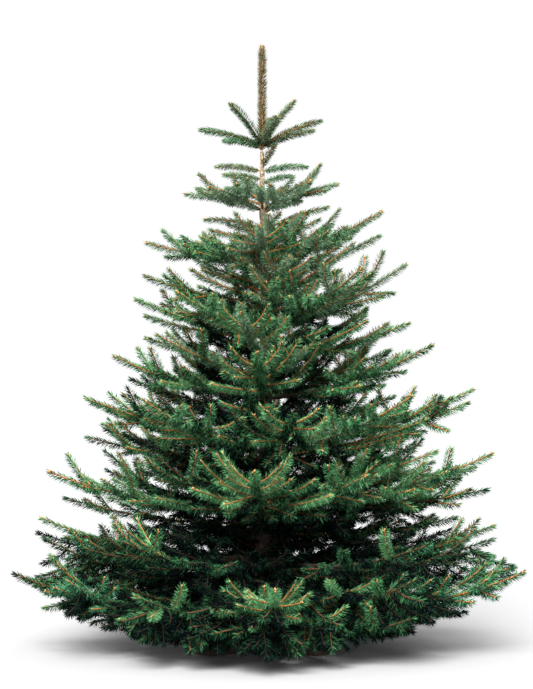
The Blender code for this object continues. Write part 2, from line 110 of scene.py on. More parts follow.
class Recipe:
    """A node tree under construction, and the one way to add a node to it."""

    def __init__(self, owner: bpy.types.Material | bpy.types.World) -> None:
        """Start on a material's or a world's tree, which holds its first shader.

        Args:
            owner: The material or world.
        """
        owner.use_nodes = True
        self.owner = owner
        self.tree = owner.node_tree
        first = "Background" if isinstance(owner, bpy.types.World) else "Principled BSDF"
        self.shader = self.tree.nodes[first]

    @staticmethod
    def of_material(name: str) -> "Recipe":
        """Start a new material."""
        return Recipe(bpy.data.materials.new(name))

    def node(
        self,
        kind: str,
        settings: dict[str, Any] | None = None,
        inputs: dict[Any, Any] | None = None,
        output: str | int = 0,
    ) -> Value:
        """Add a node.

        Args:
            kind: The node's type name.
            settings: Its own settings, set first.
            inputs: Values or links for its sockets, by name or number.
            output: The output that is returned.

        Returns:
            That output.
        """
        made = self.tree.nodes.new(kind)
        for key, value in (settings or {}).items():
            setattr(made, key, value)
        for key, value in (inputs or {}).items():
            self.feed(made.inputs[key], value)
        return Value(self, made.outputs[output])

    def feed(self, socket: bpy.types.NodeSocket, value: Any) -> None:
        """Link a socket to a Value, or set it to a plain value.

        Args:
            socket: The socket.
            value: A Value, a number or a colour.
        """
        if isinstance(value, Value):
            self.tree.links.new(value.socket, socket)
        elif isinstance(value, tuple) and socket.type == "RGBA":
            socket.default_value = (*value, 1)
        else:
            socket.default_value = value

    def dress(self, inputs: dict[str, Any]) -> bpy.types.Material:
        """Set the first shader's sockets and return the material.

        Args:
            inputs: Values or links, by socket name.

        Returns:
            The material or world.
        """
        for key, value in inputs.items():
            self.feed(self.shader.inputs[key], value)
        return self.owner

    def noise(self, place: Value, scale: float, detail: float = 3, rough: float = 0.5) -> Value:
        """Noise from 0 to 1 at a place."""
        inputs = {"Vector": place, "Scale": scale, "Detail": detail, "Roughness": rough}
        return self.node("ShaderNodeTexNoise", {}, inputs)

    def place(self) -> Value:
        """Object coordinates."""
        return self.node("ShaderNodeTexCoord", output="Object")

    def scaled(self, place: Value, scale: Triple) -> Value:
        """A place scaled along each axis."""
        return self.node("ShaderNodeMapping", {}, {"Vector": place, "Scale": scale})

    def along(self, place: Value, axis: int) -> Value:
        """A place's distance along one axis."""
        return self.node("ShaderNodeSeparateXYZ", {}, {0: place}, output=axis)

    def mix(self, share: Any, first: Any, second: Any) -> Value:
        """Blend two colours by a share."""
        inputs = {0: share, 6: first, 7: second}
        return self.node("ShaderNodeMix", {"data_type": "RGBA"}, inputs, output=2)

    def bump(self, strength: float, depth: float, height: Value) -> Value:
        """Normals of a relief whose height runs from 0 to 1, a depth in metres."""
        inputs = {"Strength": strength, "Distance": depth, "Height": height}
        return self.node("ShaderNodeBump", {}, inputs)

    def ramp(self, share: Value, low: float, high: float) -> Value:
        """Spread a value's range from low to high over 0 to 1, held at both ends."""
        return self.node("ShaderNodeMapRange", {"clamp": True}, {0: share, 1: low, 2: high})


@dataclass(frozen=True)
class PlainFinish:
    """One colour for things too small to show a pattern: needles, twigs and buds."""

    name: str
    colour: Colour
    roughness: float
    gloss: float = 0.11

    def material(self) -> bpy.types.Material:
        """Mix the finish."""
        looks = {"Base Color": self.colour, "Roughness": self.roughness}
        return Recipe.of_material(self.name).dress({**looks, "Specular IOR Level": self.gloss})


@dataclass(frozen=True)
class BarkFinish:
    """Thin flaky bark: scales of several browns with darker seams and grey lichen dust."""

    name: str
    scale_colour: Colour
    seam_colour: Colour
    young_colour: Colour
    scales_per_metre: float
    young_from: float
    young_to: float
    bump: float
    dust_colour: Colour = (0.30, 0.29, 0.24)
    edge_wobble: float = 0.012
    squat: float = 0.7
    depth: float = 0.0015

    def material(self) -> bpy.types.Material:
        """Mix the finish.

        Returns:
            The material.
        """
        recipe = Recipe.of_material(self.name)
        place = recipe.place()
        ends = {0: self.edge_wobble, 4: place, 5: recipe.noise(place, 90, 4)}
        broken = recipe.node("ShaderNodeMix", {"data_type": "VECTOR"}, ends, output=1)
        cells = {
            "Vector": recipe.scaled(broken, (1, 1, self.squat)),
            "Scale": self.scales_per_metre,
        }
        scale_tone = recipe.node("ShaderNodeTexVoronoi", {"feature": "F1"}, cells, output="Color")
        seam = recipe.node("ShaderNodeTexVoronoi", {"feature": "DISTANCE_TO_EDGE"}, cells)
        tone = recipe.along(scale_tone, 0)
        height = recipe.along(place, 2)
        age = recipe.ramp(height + recipe.noise(place, 9) * 0.25, self.young_from, self.young_to)
        scale = recipe.mix(age, self.scale_colour, self.young_colour)
        dark = tuple(channel * 0.55 for channel in self.scale_colour)
        varied = recipe.mix(recipe.ramp(tone, 0.25, 1.0) * 0.7, scale, dark)
        dust = recipe.ramp(recipe.noise(place, 35, 5), 0.56, 0.72)
        dusted = recipe.mix(dust * 0.5, varied, self.dust_colour)
        open_seam = 1 - recipe.ramp(seam, 0.02, 0.16)
        colour = recipe.mix(open_seam * 0.75, dusted, self.seam_colour)
        relief = recipe.ramp(seam, 0.0, 0.3) + recipe.noise(place, 260, 5, 0.7) * 0.6
        bump = recipe.bump(self.bump, self.depth, relief)
        rough = recipe.noise(place, 120) * 0.2 + 0.72
        return recipe.dress({"Base Color": colour, "Roughness": rough, "Normal": bump})


@dataclass(frozen=True)
class WoodFinish:
    """Planed softwood with its growth rings drawn out along a board."""

    name: str
    turn_deg: float
    # Painted shade: the wood's colours are dark brown all over, so that the stand reads as the
    # shadow under the skirt.
    early_colour: Colour = (0.150, 0.096, 0.056)
    late_colour: Colour = (0.080, 0.044, 0.024)
    pore_colour: Colour = (0.060, 0.037, 0.022)
    soil_colour: Colour = (0.098, 0.075, 0.054)

    def material(self) -> bpy.types.Material:
        """Mix the finish.

        Returns:
            The material.
        """
        recipe = Recipe.of_material(self.name)
        place = recipe.place()
        turn = {"Vector": place, "Rotation": (0, 0, math.radians(self.turn_deg))}
        turned = recipe.node("ShaderNodeMapping", {"vector_type": "TEXTURE"}, turn)
        along = recipe.scaled(turned, (1.6, 26, 26))
        rings = recipe.node(
            "ShaderNodeTexWave",
            {"wave_type": "RINGS", "rings_direction": "X", "wave_profile": "SAW"},
            {"Vector": along, "Scale": 1.1, "Distortion": 3.2, "Detail": 3.0, "Detail Scale": 0.9},
        )
        pores = recipe.noise(recipe.scaled(turned, (14, 420, 420)), 1.0, 4, 0.6)
        grain = recipe.mix(recipe.ramp(rings, 0.3, 1.0), self.early_colour, self.late_colour)
        colour = recipe.mix(recipe.ramp(pores, 0.45, 0.8) * 0.35, grain, self.pore_colour)
        soiled = recipe.ramp(recipe.noise(place, 14, 4), 0.5, 0.75)
        handled = recipe.mix(soiled * 0.3, colour, self.soil_colour)
        bump = recipe.bump(0.35, 0.0006, pores + rings * 0.4)
        rough = pores * 0.2 + 0.5
        return recipe.dress({"Base Color": handled, "Roughness": rough, "Normal": bump})


@dataclass(frozen=True)
class ZincFinish:
    """Zinc-plated screw heads, a little dulled."""

    name: str = "zinc_plate"
    bright: Colour = (0.62, 0.60, 0.52)
    dull: Colour = (0.42, 0.42, 0.41)

    def material(self) -> bpy.types.Material:
        """Mix the finish.

        Returns:
            The material.
        """
        recipe = Recipe.of_material(self.name)
        cloud = recipe.noise(recipe.place(), 700, 4)
        colour = recipe.mix(cloud, self.bright, self.dull)
        rough = cloud * 0.3 + 0.25
        return recipe.dress({"Base Color": colour, "Roughness": rough, "Metallic": 1.0})


class Shade(Enum):
    """Needle colours, from the leader's straw to the painted shade of the crown's heart."""

    STRAW = PlainFinish("needles_straw", (0.270, 0.225, 0.125), 0.50)
    OLIVE = PlainFinish("needles_olive", (0.140, 0.140, 0.064), 0.50)
    SAGE = PlainFinish("needles_sage", (0.220, 0.335, 0.208), 0.48)
    GREY = PlainFinish("needles_grey_green", (0.118, 0.215, 0.122), 0.48)
    LIME = PlainFinish("needles_lime", (0.165, 0.365, 0.162), 0.45)
    FRESH = PlainFinish("needles_fresh", (0.094, 0.272, 0.112), 0.45)
    BRIGHT = PlainFinish("needles_bright", (0.073, 0.236, 0.096), 0.45)
    MIDDLE = PlainFinish("needles_middle", (0.045, 0.162, 0.058), 0.47)
    MINT = PlainFinish("needles_mint", (0.090, 0.300, 0.155), 0.45)
    TEAL = PlainFinish("needles_teal", (0.036, 0.165, 0.075), 0.47)
    # Painted shade: DUSK, and DEEP with it, stand in for the shade in the crown's heart, under the
    # tiers and in the fringe; DEEP is also the darkest needles of the lit sprays, dealt more to the
    # undersides of shoots.
    DEEP = PlainFinish("needles_deep", (0.012, 0.044, 0.022), 0.55, 0.06)
    DUSK = PlainFinish("needles_dusk", (0.0022, 0.0046, 0.0050), 0.70, 0.02)


class Spray(Enum):
    """What a spray's needles wear: most of them, the palest and the darkest."""

    LEADER = (Shade.OLIVE, Shade.STRAW, Shade.STRAW)
    RING = (Shade.OLIVE, Shade.SAGE, Shade.GREY)
    NECK = (Shade.GREY, Shade.SAGE, Shade.GREY)
    HIGH = (Shade.GREY, Shade.SAGE, Shade.MIDDLE)
    FRESH = (Shade.FRESH, Shade.LIME, Shade.MIDDLE)
    BRIGHT = (Shade.BRIGHT, Shade.LIME, Shade.DEEP)
    MIDDLE = (Shade.MIDDLE, Shade.FRESH, Shade.DEEP)
    TEAL = (Shade.TEAL, Shade.MINT, Shade.DEEP)
    # Painted shade: SHADED and DARK are the sprays of the crown's heart, the tiers' undersides and
    # the skirt's fringe.
    SHADED = (Shade.DEEP, Shade.MIDDLE, Shade.DUSK)
    DARK = (Shade.DUSK, Shade.DEEP, Shade.DUSK)


class Rind(Enum):
    """Twig colours by age, and by painted shade: OLDER and OLD go on twigs whose needles are
    painted in shade, and on hanging ones.
    """

    YOUNG = PlainFinish("twig_young", (0.430, 0.165, 0.048), 0.55)
    OLDER = PlainFinish("twig_older", (0.130, 0.056, 0.028), 0.70, 0.08)
    OLD = PlainFinish("twig_old", (0.030, 0.019, 0.014), 0.85, 0.03)


BUD_FINISH = PlainFinish("bud_scales", (0.620, 0.330, 0.130), 0.50)


# ---- hand tools


class Bench:
    """The hand tools that shape a piece: selection in code, then Blender's own operators."""

    @staticmethod
    def clear() -> None:
        """Leave edit mode with nothing selected."""
        if bpy.context.object and bpy.context.object.mode != "OBJECT":
            bpy.ops.object.mode_set(mode="OBJECT")
        bpy.ops.object.select_all(action="DESELECT")

    @staticmethod
    def take(*pieces: Piece) -> None:
        """Select pieces and nothing else.

        Args:
            *pieces: The pieces; the first becomes the active one.
        """
        Bench.clear()
        for piece in pieces:
            piece.select_set(True)
        bpy.context.view_layer.objects.active = pieces[0]

    @staticmethod
    def edit(piece: Piece) -> None:
        """Open a piece in edit mode with all of it selected.

        Args:
            piece: The piece.
        """
        Bench.take(piece)
        bpy.ops.object.mode_set(mode="EDIT")
        bpy.ops.mesh.select_all(action="SELECT")

    @staticmethod
    def start(name: str = "") -> Piece:
        """Put the primitive just added into place, name it and open it in edit mode.

        Args:
            name: Its name, if it gets one yet.

        Returns:
            The piece.
        """
        piece = bpy.context.object
        piece.name = name or piece.name
        Bench.settle(piece)
        Bench.edit(piece)
        return piece

    @staticmethod
    def block(name: str, size: Triple, centre: Vector, turn: float) -> Piece:
        """Start a piece from a block.

        Args:
            name: The piece's name.
            size: Length, width and height.
            centre: The block's middle.
            turn: How far it is turned about the upright, in radians.

        Returns:
            The piece, in edit mode.
        """
        Bench.clear()
        bpy.ops.mesh.primitive_cube_add(size=1, location=centre, rotation=(0, 0, turn), scale=size)
        return Bench.start(name)

    @staticmethod
    def choose_faces(piece: Piece, wanted: Callable[[Vector, Vector], bool]) -> None:
        """Select the faces of a piece in edit mode.

        Args:
            piece: The piece.
            wanted: Says from a face's centre and normal whether it is selected.
        """
        bpy.ops.mesh.select_mode(type="FACE")
        bpy.ops.mesh.select_all(action="DESELECT")
        shape = bmesh.from_edit_mesh(piece.data)
        for face in shape.faces:
            face.select_set(wanted(face.calc_center_median(), face.normal))
        bmesh.update_edit_mesh(piece.data)

    @staticmethod
    def draw_out(steps: Iterable[tuple[Vector, Sequence[float]]]) -> None:
        """Extrude the selected face step by step.

        Args:
            steps: How far each step goes, and how it scales the face.
        """
        for move, scale in steps:
            bpy.ops.mesh.extrude_region_move(TRANSFORM_OT_translate={"value": move})
            bpy.ops.transform.resize(value=scale)

    @staticmethod
    def face_out() -> None:
        """Turn the open piece's faces outwards, and leave edit mode."""
        bpy.ops.mesh.select_all(action="SELECT")
        bpy.ops.mesh.normals_make_consistent(inside=False)
        Bench.clear()

    @staticmethod
    def settle(piece: Piece) -> None:
        """Put a piece's place into its mesh, so that its object sits at the origin."""
        Bench.take(piece)
        bpy.ops.object.transform_apply(location=True, rotation=True, scale=True)

    @staticmethod
    def apply_all(piece: Piece) -> None:
        """Apply a piece's modifiers in order.

        Args:
            piece: The piece.
        """
        Bench.take(piece)
        for modifier in list(piece.modifiers):
            bpy.ops.object.modifier_apply(modifier=modifier.name)

    @staticmethod
    def join(name: str, pieces: Sequence[Piece]) -> Piece:
        """Join pieces into one.

        Args:
            name: The whole's name.
            pieces: The pieces.

        Returns:
            The whole.
        """
        Bench.take(*pieces)
        bpy.ops.object.join()
        pieces[0].name = pieces[0].data.name = name
        return pieces[0]

    @staticmethod
    def roughen(piece: Piece, levels: int, reliefs: Sequence["Relief"]) -> None:
        """Round a piece off by subdivision and push its skin in and out.

        Args:
            piece: The piece.
            levels: How often it is subdivided.
            reliefs: The textures that push it, one after another.
        """
        smooth = piece.modifiers.new("smooth", "SUBSURF")
        smooth.levels = smooth.render_levels = levels
        for kind, size, strength in reliefs:
            texture = bpy.data.textures.new(f"{piece.name}_{kind}", kind)
            texture.noise_scale = size
            push = piece.modifiers.new(kind.lower(), "DISPLACE")
            push.texture = texture
            push.texture_coords = "LOCAL"
            push.strength = strength
        Bench.apply_all(piece)

    @staticmethod
    def dress(piece: Piece, material: bpy.types.Material, sharp_deg: float = 180) -> None:
        """Shade a piece smooth and give it its material.

        Args:
            piece: The piece.
            material: What it wears.
            sharp_deg: Edges that turn by more than this stay sharp.
        """
        piece.data.shade_smooth()
        if sharp_deg < 180:
            piece.data.set_sharp_from_angle(angle=math.radians(sharp_deg))
        piece.data.materials.append(material)


class Relief(NamedTuple):
    """A texture that pushes a skin in and out, with its size and depth in metres."""

    kind: str
    size: float
    strength: float


def hand_over(piece: Piece, slot: str, nodes: Iterable[str]) -> None:
    """Attach a finished piece to the root, hide the CAD nodes that it replaces, and log its
    triangles.

    Args:
        piece: The finished piece.
        slot: The record's material slot for its finish; here it only tells whether the nodes are
            hidden, and is empty for small metal parts.
        nodes: The CAD nodes that it replaces.
    """
    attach(piece, "root")
    if slot:
        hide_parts(*nodes)
    triangles = sum(len(face.vertices) - 2 for face in piece.data.polygons)
    LOG.info("%s: %d triangles", piece.name, triangles)


# ---- lines of growth


class Arc(NamedTuple):
    """A limb's centre line, which bends evenly from its first heading to its last."""

    start: Vector
    first: Vector
    last: Vector
    length: float

    def point(self, share: float) -> Vector:
        """The place at a share of the length."""
        bend = (self.last - self.first) * (share * share / 2)
        return self.start + (self.first * share + bend) * self.length

    def heading(self, share: float) -> Vector:
        """The unit heading at a share of the length."""
        return self.first.lerp(self.last, share).normalized()

    def beyond(self, share: float) -> "Arc":
        """The rest of this limb as an arc of its own."""
        turned = self.first.lerp(self.last, share)
        return Arc(self.point(share), turned, self.last, self.length * (1 - share))

    def points(self, shares: np.ndarray) -> np.ndarray:
        """The places at many shares of the length, one row each.

        Args:
            shares: The shares.

        Returns:
            The places.
        """
        first, last = np.array(self.first), np.array(self.last)
        s = shares[:, None]
        return np.array(self.start) + (first * s + (last - first) * (s * s / 2)) * self.length

    def frames(self, shares: np.ndarray) -> tuple[np.ndarray, np.ndarray, np.ndarray]:
        """Unit headings at many shares, and the side and top directions square to them.

        Args:
            shares: The shares.

        Returns:
            Headings, sides and tops, one row each.
        """
        first, last = np.array(self.first), np.array(self.last)
        heading = unit_rows(first + (last - first) * shares[:, None])
        side, _ = axes_of(self.heading(0.5))
        top = unit_rows(np.cross(np.array(side), heading))
        return heading, np.cross(heading, top), top


def unit_rows(rows: np.ndarray) -> np.ndarray:
    """Rows scaled to unit length."""
    return rows / np.linalg.norm(rows, axis=1)[:, None]


def axes_of(heading: Vector) -> tuple[Vector, Vector]:
    """(side, top) of a limb: unit vectors square to it, the first one level."""
    side = (heading.cross(UP) if abs(heading.z) < 0.999 else Vector((0, -1, 0))).normalized()
    return side, side.cross(heading)


def ring_points(
    centre: Vector, heading: Vector, radius: float, sides: int, roll: float
) -> list[Vector]:
    """Corners of a limb's section; the first is on top where roll is 0.

    Args:
        centre: Middle of the section.
        heading: The limb's unit heading.
        radius: Distance to the corners.
        sides: How many corners there are.
        roll: How far the section is turned, in radians.

    Returns:
        The corners.
    """
    side, top = axes_of(heading)
    turns = [roll + 2 * math.pi * k / sides for k in range(sides)]
    return [centre + (side * math.sin(turn) + top * math.cos(turn)) * radius for turn in turns]


def outward(azimuth: float, slope: float) -> Vector:
    """Unit heading that leaves the trunk's axis at this azimuth and slope."""
    level = math.cos(slope)
    return Vector((level * math.cos(azimuth), level * math.sin(azimuth), math.sin(slope)))


class Tier(NamedTuple):
    """Boughs that leave the trunk at one height. Azimuths run from +X towards +Y."""

    name: str
    height: float
    reach: float
    skew: float
    start_deg: float
    tip_deg: float
    tilt_deg: float
    turn_deg: float
    bare: float
    foot_radius: float
    hanging: int
    boughs: int = 5

    def slopes(self, azimuth: float) -> tuple[float, float]:
        """A bough's slope in radians where it leaves the trunk and at its tip."""
        tilt = self.tilt_deg * math.cos(azimuth)
        return math.radians(self.start_deg + tilt), math.radians(self.tip_deg + tilt)

    def level(self, radius: float, azimuth: float) -> float:
        """Height of the tier's boughs at this distance from the axis, carried on past their tips.

        Args:
            radius: The distance.
            azimuth: The direction.

        Returns:
            The height.
        """
        share = radius / self.reach
        start, tip = (math.sin(slope) for slope in self.slopes(azimuth))
        return self.height + self.reach * (start * share + (tip - start) * share * share / 2)


TIERS = (
    Tier("skirt", 0.150, 0.784, 0.029, -10, 25, 0, 198, 0.28, 0.0078, 5),
    Tier("low", 0.270, 0.728, 0.008, -5, 20, -1, 162, 0.28, 0.0076, 0),
    Tier("lower", 0.425, 0.684, 0.030, 0, 24, 2, 198, 0.0, 0.0072, 0),
    Tier("middle", 0.588, 0.614, 0.070, 6, 26, 0, 162, 0.0, 0.0066, 0),
    Tier("upper", 0.748, 0.484, 0.052, 6, 28, 1, 198, 0.0, 0.0058, 0),
    Tier("high", 0.945, 0.426, 0.038, 12, 28, 6, 162, 0.0, 0.0052, 0),
    Tier("crown", 1.158, 0.366, 0.015, 8, 22, 7, 198, 0.0, 0.0046, 0),
    Tier("neck", 1.312, 0.243, -0.027, 24, 8, 4, 162, 0.0, 0.0040, 0),
)


# ---- trunk


@dataclass
class Trunk:
    """The trunk, whole from its flat cut to the foot of the leader."""

    foot: float = 0.0283
    top: float = 1.490
    foot_radius: float = 0.0290
    top_radius: float = 0.0062
    lean: float = 0.012
    flare: float = 0.0035
    flare_height: float = 0.035
    swell: float = 0.0014
    swell_half: float = 0.022
    facets: int = 8
    sides: int = 16
    step: float = 0.020
    spare: float = 0.01
    reliefs: tuple[Relief, ...] = (
        Relief("CLOUDS", 0.035, 0.0022),
        Relief("VORONOI", 0.0075, 0.0016),
    )
    finish: BarkFinish = BarkFinish(
        "trunk_bark",
        scale_colour=(0.080, 0.055, 0.038),
        seam_colour=(0.030, 0.020, 0.014),
        young_colour=(0.62, 0.47, 0.30),
        scales_per_metre=150,
        young_from=0.98,
        young_to=1.30,
        bump=0.9,
    )

    def centre(self, height: float) -> Vector:
        """The axis, which bows a little to one side and is upright at both ends."""
        share = max(0.0, min(1.0, height / self.top))
        return Vector((self.lean * math.sin(math.pi * share) ** 2, 0, height))

    def radius(self, height: float) -> float:
        """Radius: the taper, the butt's swelling and a slight swelling at each tier.

        Args:
            height: Where it is measured.

        Returns:
            The radius.
        """
        share = (height - self.foot) / (self.top - self.foot)
        taper = self.foot_radius + (self.top_radius - self.foot_radius) * share
        flare = self.flare * math.exp((self.foot - height) / self.flare_height)
        nearest = min(abs(height - tier.height) for tier in TIERS)
        return taper + flare + self.swell * max(0.0, 1 - nearest / self.swell_half)

    def front(self, height: float, azimuth: float, aside: float) -> float:
        """How far the faceted section reaches towards an azimuth.

        Args:
            height: Where the section is.
            azimuth: The direction.
            aside: How far the line that is measured on runs beside the axis.

        Returns:
            The distance to the section's front on that line.
        """
        toward, across = outward(azimuth, 0), outward(azimuth + math.pi / 2, 0)
        corners = ring_points(Vector(), UP, self.radius(height), self.facets, 0)
        reach = 0.0
        for corner, following in pairwise([*corners, corners[0]]):
            low, high = across.dot(corner) - aside, across.dot(following) - aside
            if low * high <= 0 and low != high:
                reach = max(reach, toward.dot(corner.lerp(following, low / (low - high))))
        return reach

    def stand_off(
        self, height: float, azimuth: float, slope: float, radius: float, sides: int
    ) -> float:
        """Distance from the axis to the middle of a limb's flat foot that just clears the bark.

        Args:
            height: Where the limb starts.
            azimuth: Where it points to.
            slope: How steeply it starts.
            radius: Its radius at the foot.
            sides: How many sides it has.

        Returns:
            The distance.
        """
        foot = ring_points(Vector(), outward(0, slope), radius, sides, 0)
        edge = [low.lerp(high, k / 6) for low, high in pairwise([*foot, foot[0]]) for k in range(6)]
        points = [point * share for point in edge for share in (1, 0.5)]
        reaches = [self.front(height + point.z, azimuth, point.y) - point.x for point in points]
        return max(reaches) + GAP

    def build(self) -> None:
        """Model the trunk: a short cylinder drawn up ring by ring, given its bark, and cut flat."""
        Bench.clear()
        bpy.ops.mesh.primitive_cylinder_add(
            vertices=self.sides,
            radius=self.radius(self.foot),
            depth=self.spare,
            location=(0, 0, self.foot - self.spare / 2),
        )
        piece = Bench.start("trunk_bark")
        Bench.choose_faces(piece, lambda centre, normal: normal.z > 0.9)
        count = round((self.top - self.foot) / self.step)
        heights = [self.foot + (self.top - self.foot) * k / count for k in range(count + 1)]
        steps = []
        for low, high in pairwise(heights):
            grown = self.radius(high) / self.radius(low)
            steps.append((self.centre(high) - self.centre(low), (grown, grown, 1)))
        Bench.draw_out(steps)
        Bench.clear()
        Bench.roughen(piece, 2, self.reliefs)
        Bench.edit(piece)
        bpy.ops.mesh.bisect(
            plane_co=(0, 0, self.foot), plane_no=(0, 0, -1), clear_outer=True, use_fill=True
        )
        Bench.face_out()
        Bench.dress(piece, self.finish.material())
        hand_over(piece, "bark", ["trunk"])


# ---- the source's rule


@dataclass
class Rule:
    """The growth rule that made the solids, with its sizes."""

    trunk: Trunk
    year: float = 0.135
    side_share: float = 0.62
    side_spread: float = math.radians(54)
    side_close: float = math.radians(34)
    side_lift: float = math.radians(1)
    lift_spread: float = math.radians(13)
    shortest: float = 0.062
    hang_slope: float = math.radians(-48)
    hang_length: float = 0.115
    limb_sides: int = 6
    twig_sides: int = 3
    stem_radius: float = 0.0048
    twig_radius: float = 0.0030
    needle_reach: float = 0.0210
    root_aside: float = 0.0018
    core: float = 0.30
    tooth: float = 0.073
    roll: float = 0.3
    tooth_peak: float = 0.74
    tooth_end: float = 0.90
    margin: float = 0.002
    clearance: float = 0.034
    lowest: float = 0.032
    branchlet_height: float = 1.428
    branchlet_length: float = 0.130
    branchlet_azimuths_deg: tuple[float, ...] = (176, 12)
    tree_height: float = 1.80
    ring_height: float = 0.012
    ring_stagger: float = 0.004
    ring_length: float = 0.190
    ring_turn_deg: float = 184
    ring_slopes_deg: tuple[float, ...] = (26, 46, 34, 32, 62, 38, 20)
    ring_flatten_deg: float = 22

    def years_of(self, length: float) -> int:
        """How many years a length took to grow."""
        return max(1, round(length / self.year))

    def bough_arc(self, tier: Tier, azimuth: float) -> Arc:
        """Centre line of a bough, from the trunk's face to the tip.

        Args:
            tier: The bough's tier.
            azimuth: Its direction.

        Returns:
            The centre line.
        """
        start, tip = tier.slopes(azimuth)
        sides = self.limb_sides if tier.bare else self.twig_sides
        from_axis = self.trunk.stand_off(tier.height, azimuth, start, tier.foot_radius, sides)
        foot = self.trunk.centre(tier.height) + outward(azimuth, 0) * from_axis
        reach = tier.reach * (1 + tier.skew * math.cos(azimuth)) - from_axis
        length = reach / ((math.cos(start) + math.cos(tip)) / 2)
        return Arc(foot, outward(azimuth, start), outward(azimuth, tip), length)

    def side_twig(self, limb: Arc, share: float, sign: int, length: float, lift: float) -> Arc:
        """A twig that leaves a limb to one side and turns forwards along it.

        Args:
            limb: The limb.
            share: Where on it the twig starts.
            sign: -1 for one side, 1 for the other.
            length: The twig's length.
            lift: How much it rises over the limb's plane, as a slope.

        Returns:
            Its centre line.
        """
        heading = limb.heading(share)
        side, top = axes_of(heading)
        wide, close = self.side_spread, self.side_close
        first = heading * math.cos(wide) + side * (sign * math.sin(wide)) + top * lift
        last = heading * math.cos(close) + side * (sign * math.sin(close)) + top * (lift + 0.1)
        root = limb.point(share) + side * (sign * self.root_aside)
        return Arc(root, first.normalized(), last.normalized(), length)

    def side_twigs(self, limb: "Shoot", first_share: float, chance: Chance) -> list[Arc]:
        """The pairs of twigs that leave a shoot at each year's node, longest where it is oldest.

        Args:
            limb: The shoot.
            first_share: Where its first node is.
            chance: Source of the small differences.

        Returns:
            The twigs that are long enough to be made.
        """
        years = self.years_of(limb.arc.length * (1 - first_share))
        twigs = []
        for year in range(years):
            share = limb.nearest_neck(first_share + (1 - first_share) * year / years)
            for sign in (-1, 1):
                length = self.side_share * limb.arc.length * (1 - share) * chance.uniform(0.88, 1.1)
                turn = self.side_lift + chance.uniform(-self.lift_spread, self.lift_spread)
                twigs.append(self.side_twig(limb.arc, share, sign, length, math.tan(turn)))
        return [twig for twig in twigs if twig.length > self.shortest]

    @staticmethod
    def hanging_twig(limb: Arc, share: float, aside: float, slope: float, length: float) -> Arc:
        """A twig that hangs below a limb and turns forwards along it.

        Args:
            limb: The limb.
            share: Where on it the twig starts.
            aside: How far it leans to one side.
            slope: How steeply it falls, in radians below the limb.
            length: Its length.

        Returns:
            Its centre line.
        """
        heading = limb.heading(share)
        side, top = axes_of(heading)
        lean = side * aside
        fall = heading * math.cos(slope) + top * math.sin(slope) + lean
        last = heading + top * math.sin(slope) * 0.5 + lean
        return Arc(limb.point(share), fall.normalized(), last.normalized(), length)

    def hanging_twigs(self, limb: Arc, count: int, chance: Chance) -> list[Arc]:
        """Twigs that hang from the underside of a stem, turned alternately to either side.

        Args:
            limb: The stem.
            count: How many there are.
            chance: Source of the small differences.

        Returns:
            The twigs.
        """
        twigs = []
        for k in range(count):
            aside = (-1) ** k * chance.uniform(0.3, 0.7)
            length = self.hang_length * chance.uniform(0.85, 1.15)
            share = 0.04 + 0.70 * k / count
            twigs.append(self.hanging_twig(limb, share, aside, self.hang_slope, length))
        return twigs

    def ring_arc(self, start: Vector, azimuth: float, slope_deg: float, length: float) -> Arc:
        """Centre line of a shoot round the leader's foot, which flattens towards its tip.

        Args:
            start: Where it starts.
            azimuth: Where it points to.
            slope_deg: How steeply it starts.
            length: Its length.

        Returns:
            The centre line.
        """
        first = outward(azimuth, math.radians(slope_deg))
        last = outward(azimuth, math.radians(slope_deg - self.ring_flatten_deg))
        return Arc(start, first, last, length)


class Space(NamedTuple):
    """What one mass may fill: a wedge of its tier, half-way to the tiers below and above it."""

    rule: Rule
    tier_index: int
    azimuth: float
    right_edge: float
    left_edge: float

    def holds(self, point: Vector) -> bool:
        """Whether a point is in the space.

        Args:
            point: The point.

        Returns:
            True if it is.
        """
        rule, trunk = self.rule, self.rule.trunk
        across = point - trunk.centre(point.z)
        radius, azimuth = across.length, math.atan2(across.y, across.x)
        if radius < trunk.radius(point.z) + rule.margin or point.z < rule.lowest:
            return False
        turned = math.remainder(azimuth - self.azimuth, 2 * math.pi)
        room = rule.margin / radius
        if not self.right_edge + room < turned < self.left_edge - room:
            return False
        level = TIERS[self.tier_index].level(radius, azimuth)
        if self.tier_index > 0:
            below = TIERS[self.tier_index - 1].level(radius, azimuth)
            if point.z < (level + below) / 2 + rule.margin:
                return False
        if self.tier_index < len(TIERS) - 1:
            above = TIERS[self.tier_index + 1].level(radius, azimuth)
            return point.z < (level + above) / 2 - rule.margin
        return point.z < rule.branchlet_height - rule.needle_reach

    @staticmethod
    def of_tier(rule: Rule, index: int) -> list["Space"]:
        """One space for each bough of a tier, at even azimuths that are then moved a little.

        Args:
            rule: The growth rule.
            index: The tier's number.

        Returns:
            The spaces.
        """
        tier = TIERS[index]
        chance = random.Random(SEED + index)
        step = 2 * math.pi / tier.boughs
        turns = [
            math.radians(tier.turn_deg) + step * (k + chance.uniform(-0.055, 0.055))
            for k in range(tier.boughs)
        ]
        following = turns[1:] + [turns[0] + 2 * math.pi]
        before = [turns[-1] - 2 * math.pi] + turns[:-1]
        return [
            Space(rule, index, turn, (last - turn) / 2, (after - turn) / 2)
            for last, turn, after in zip(before, turns, following)
        ]


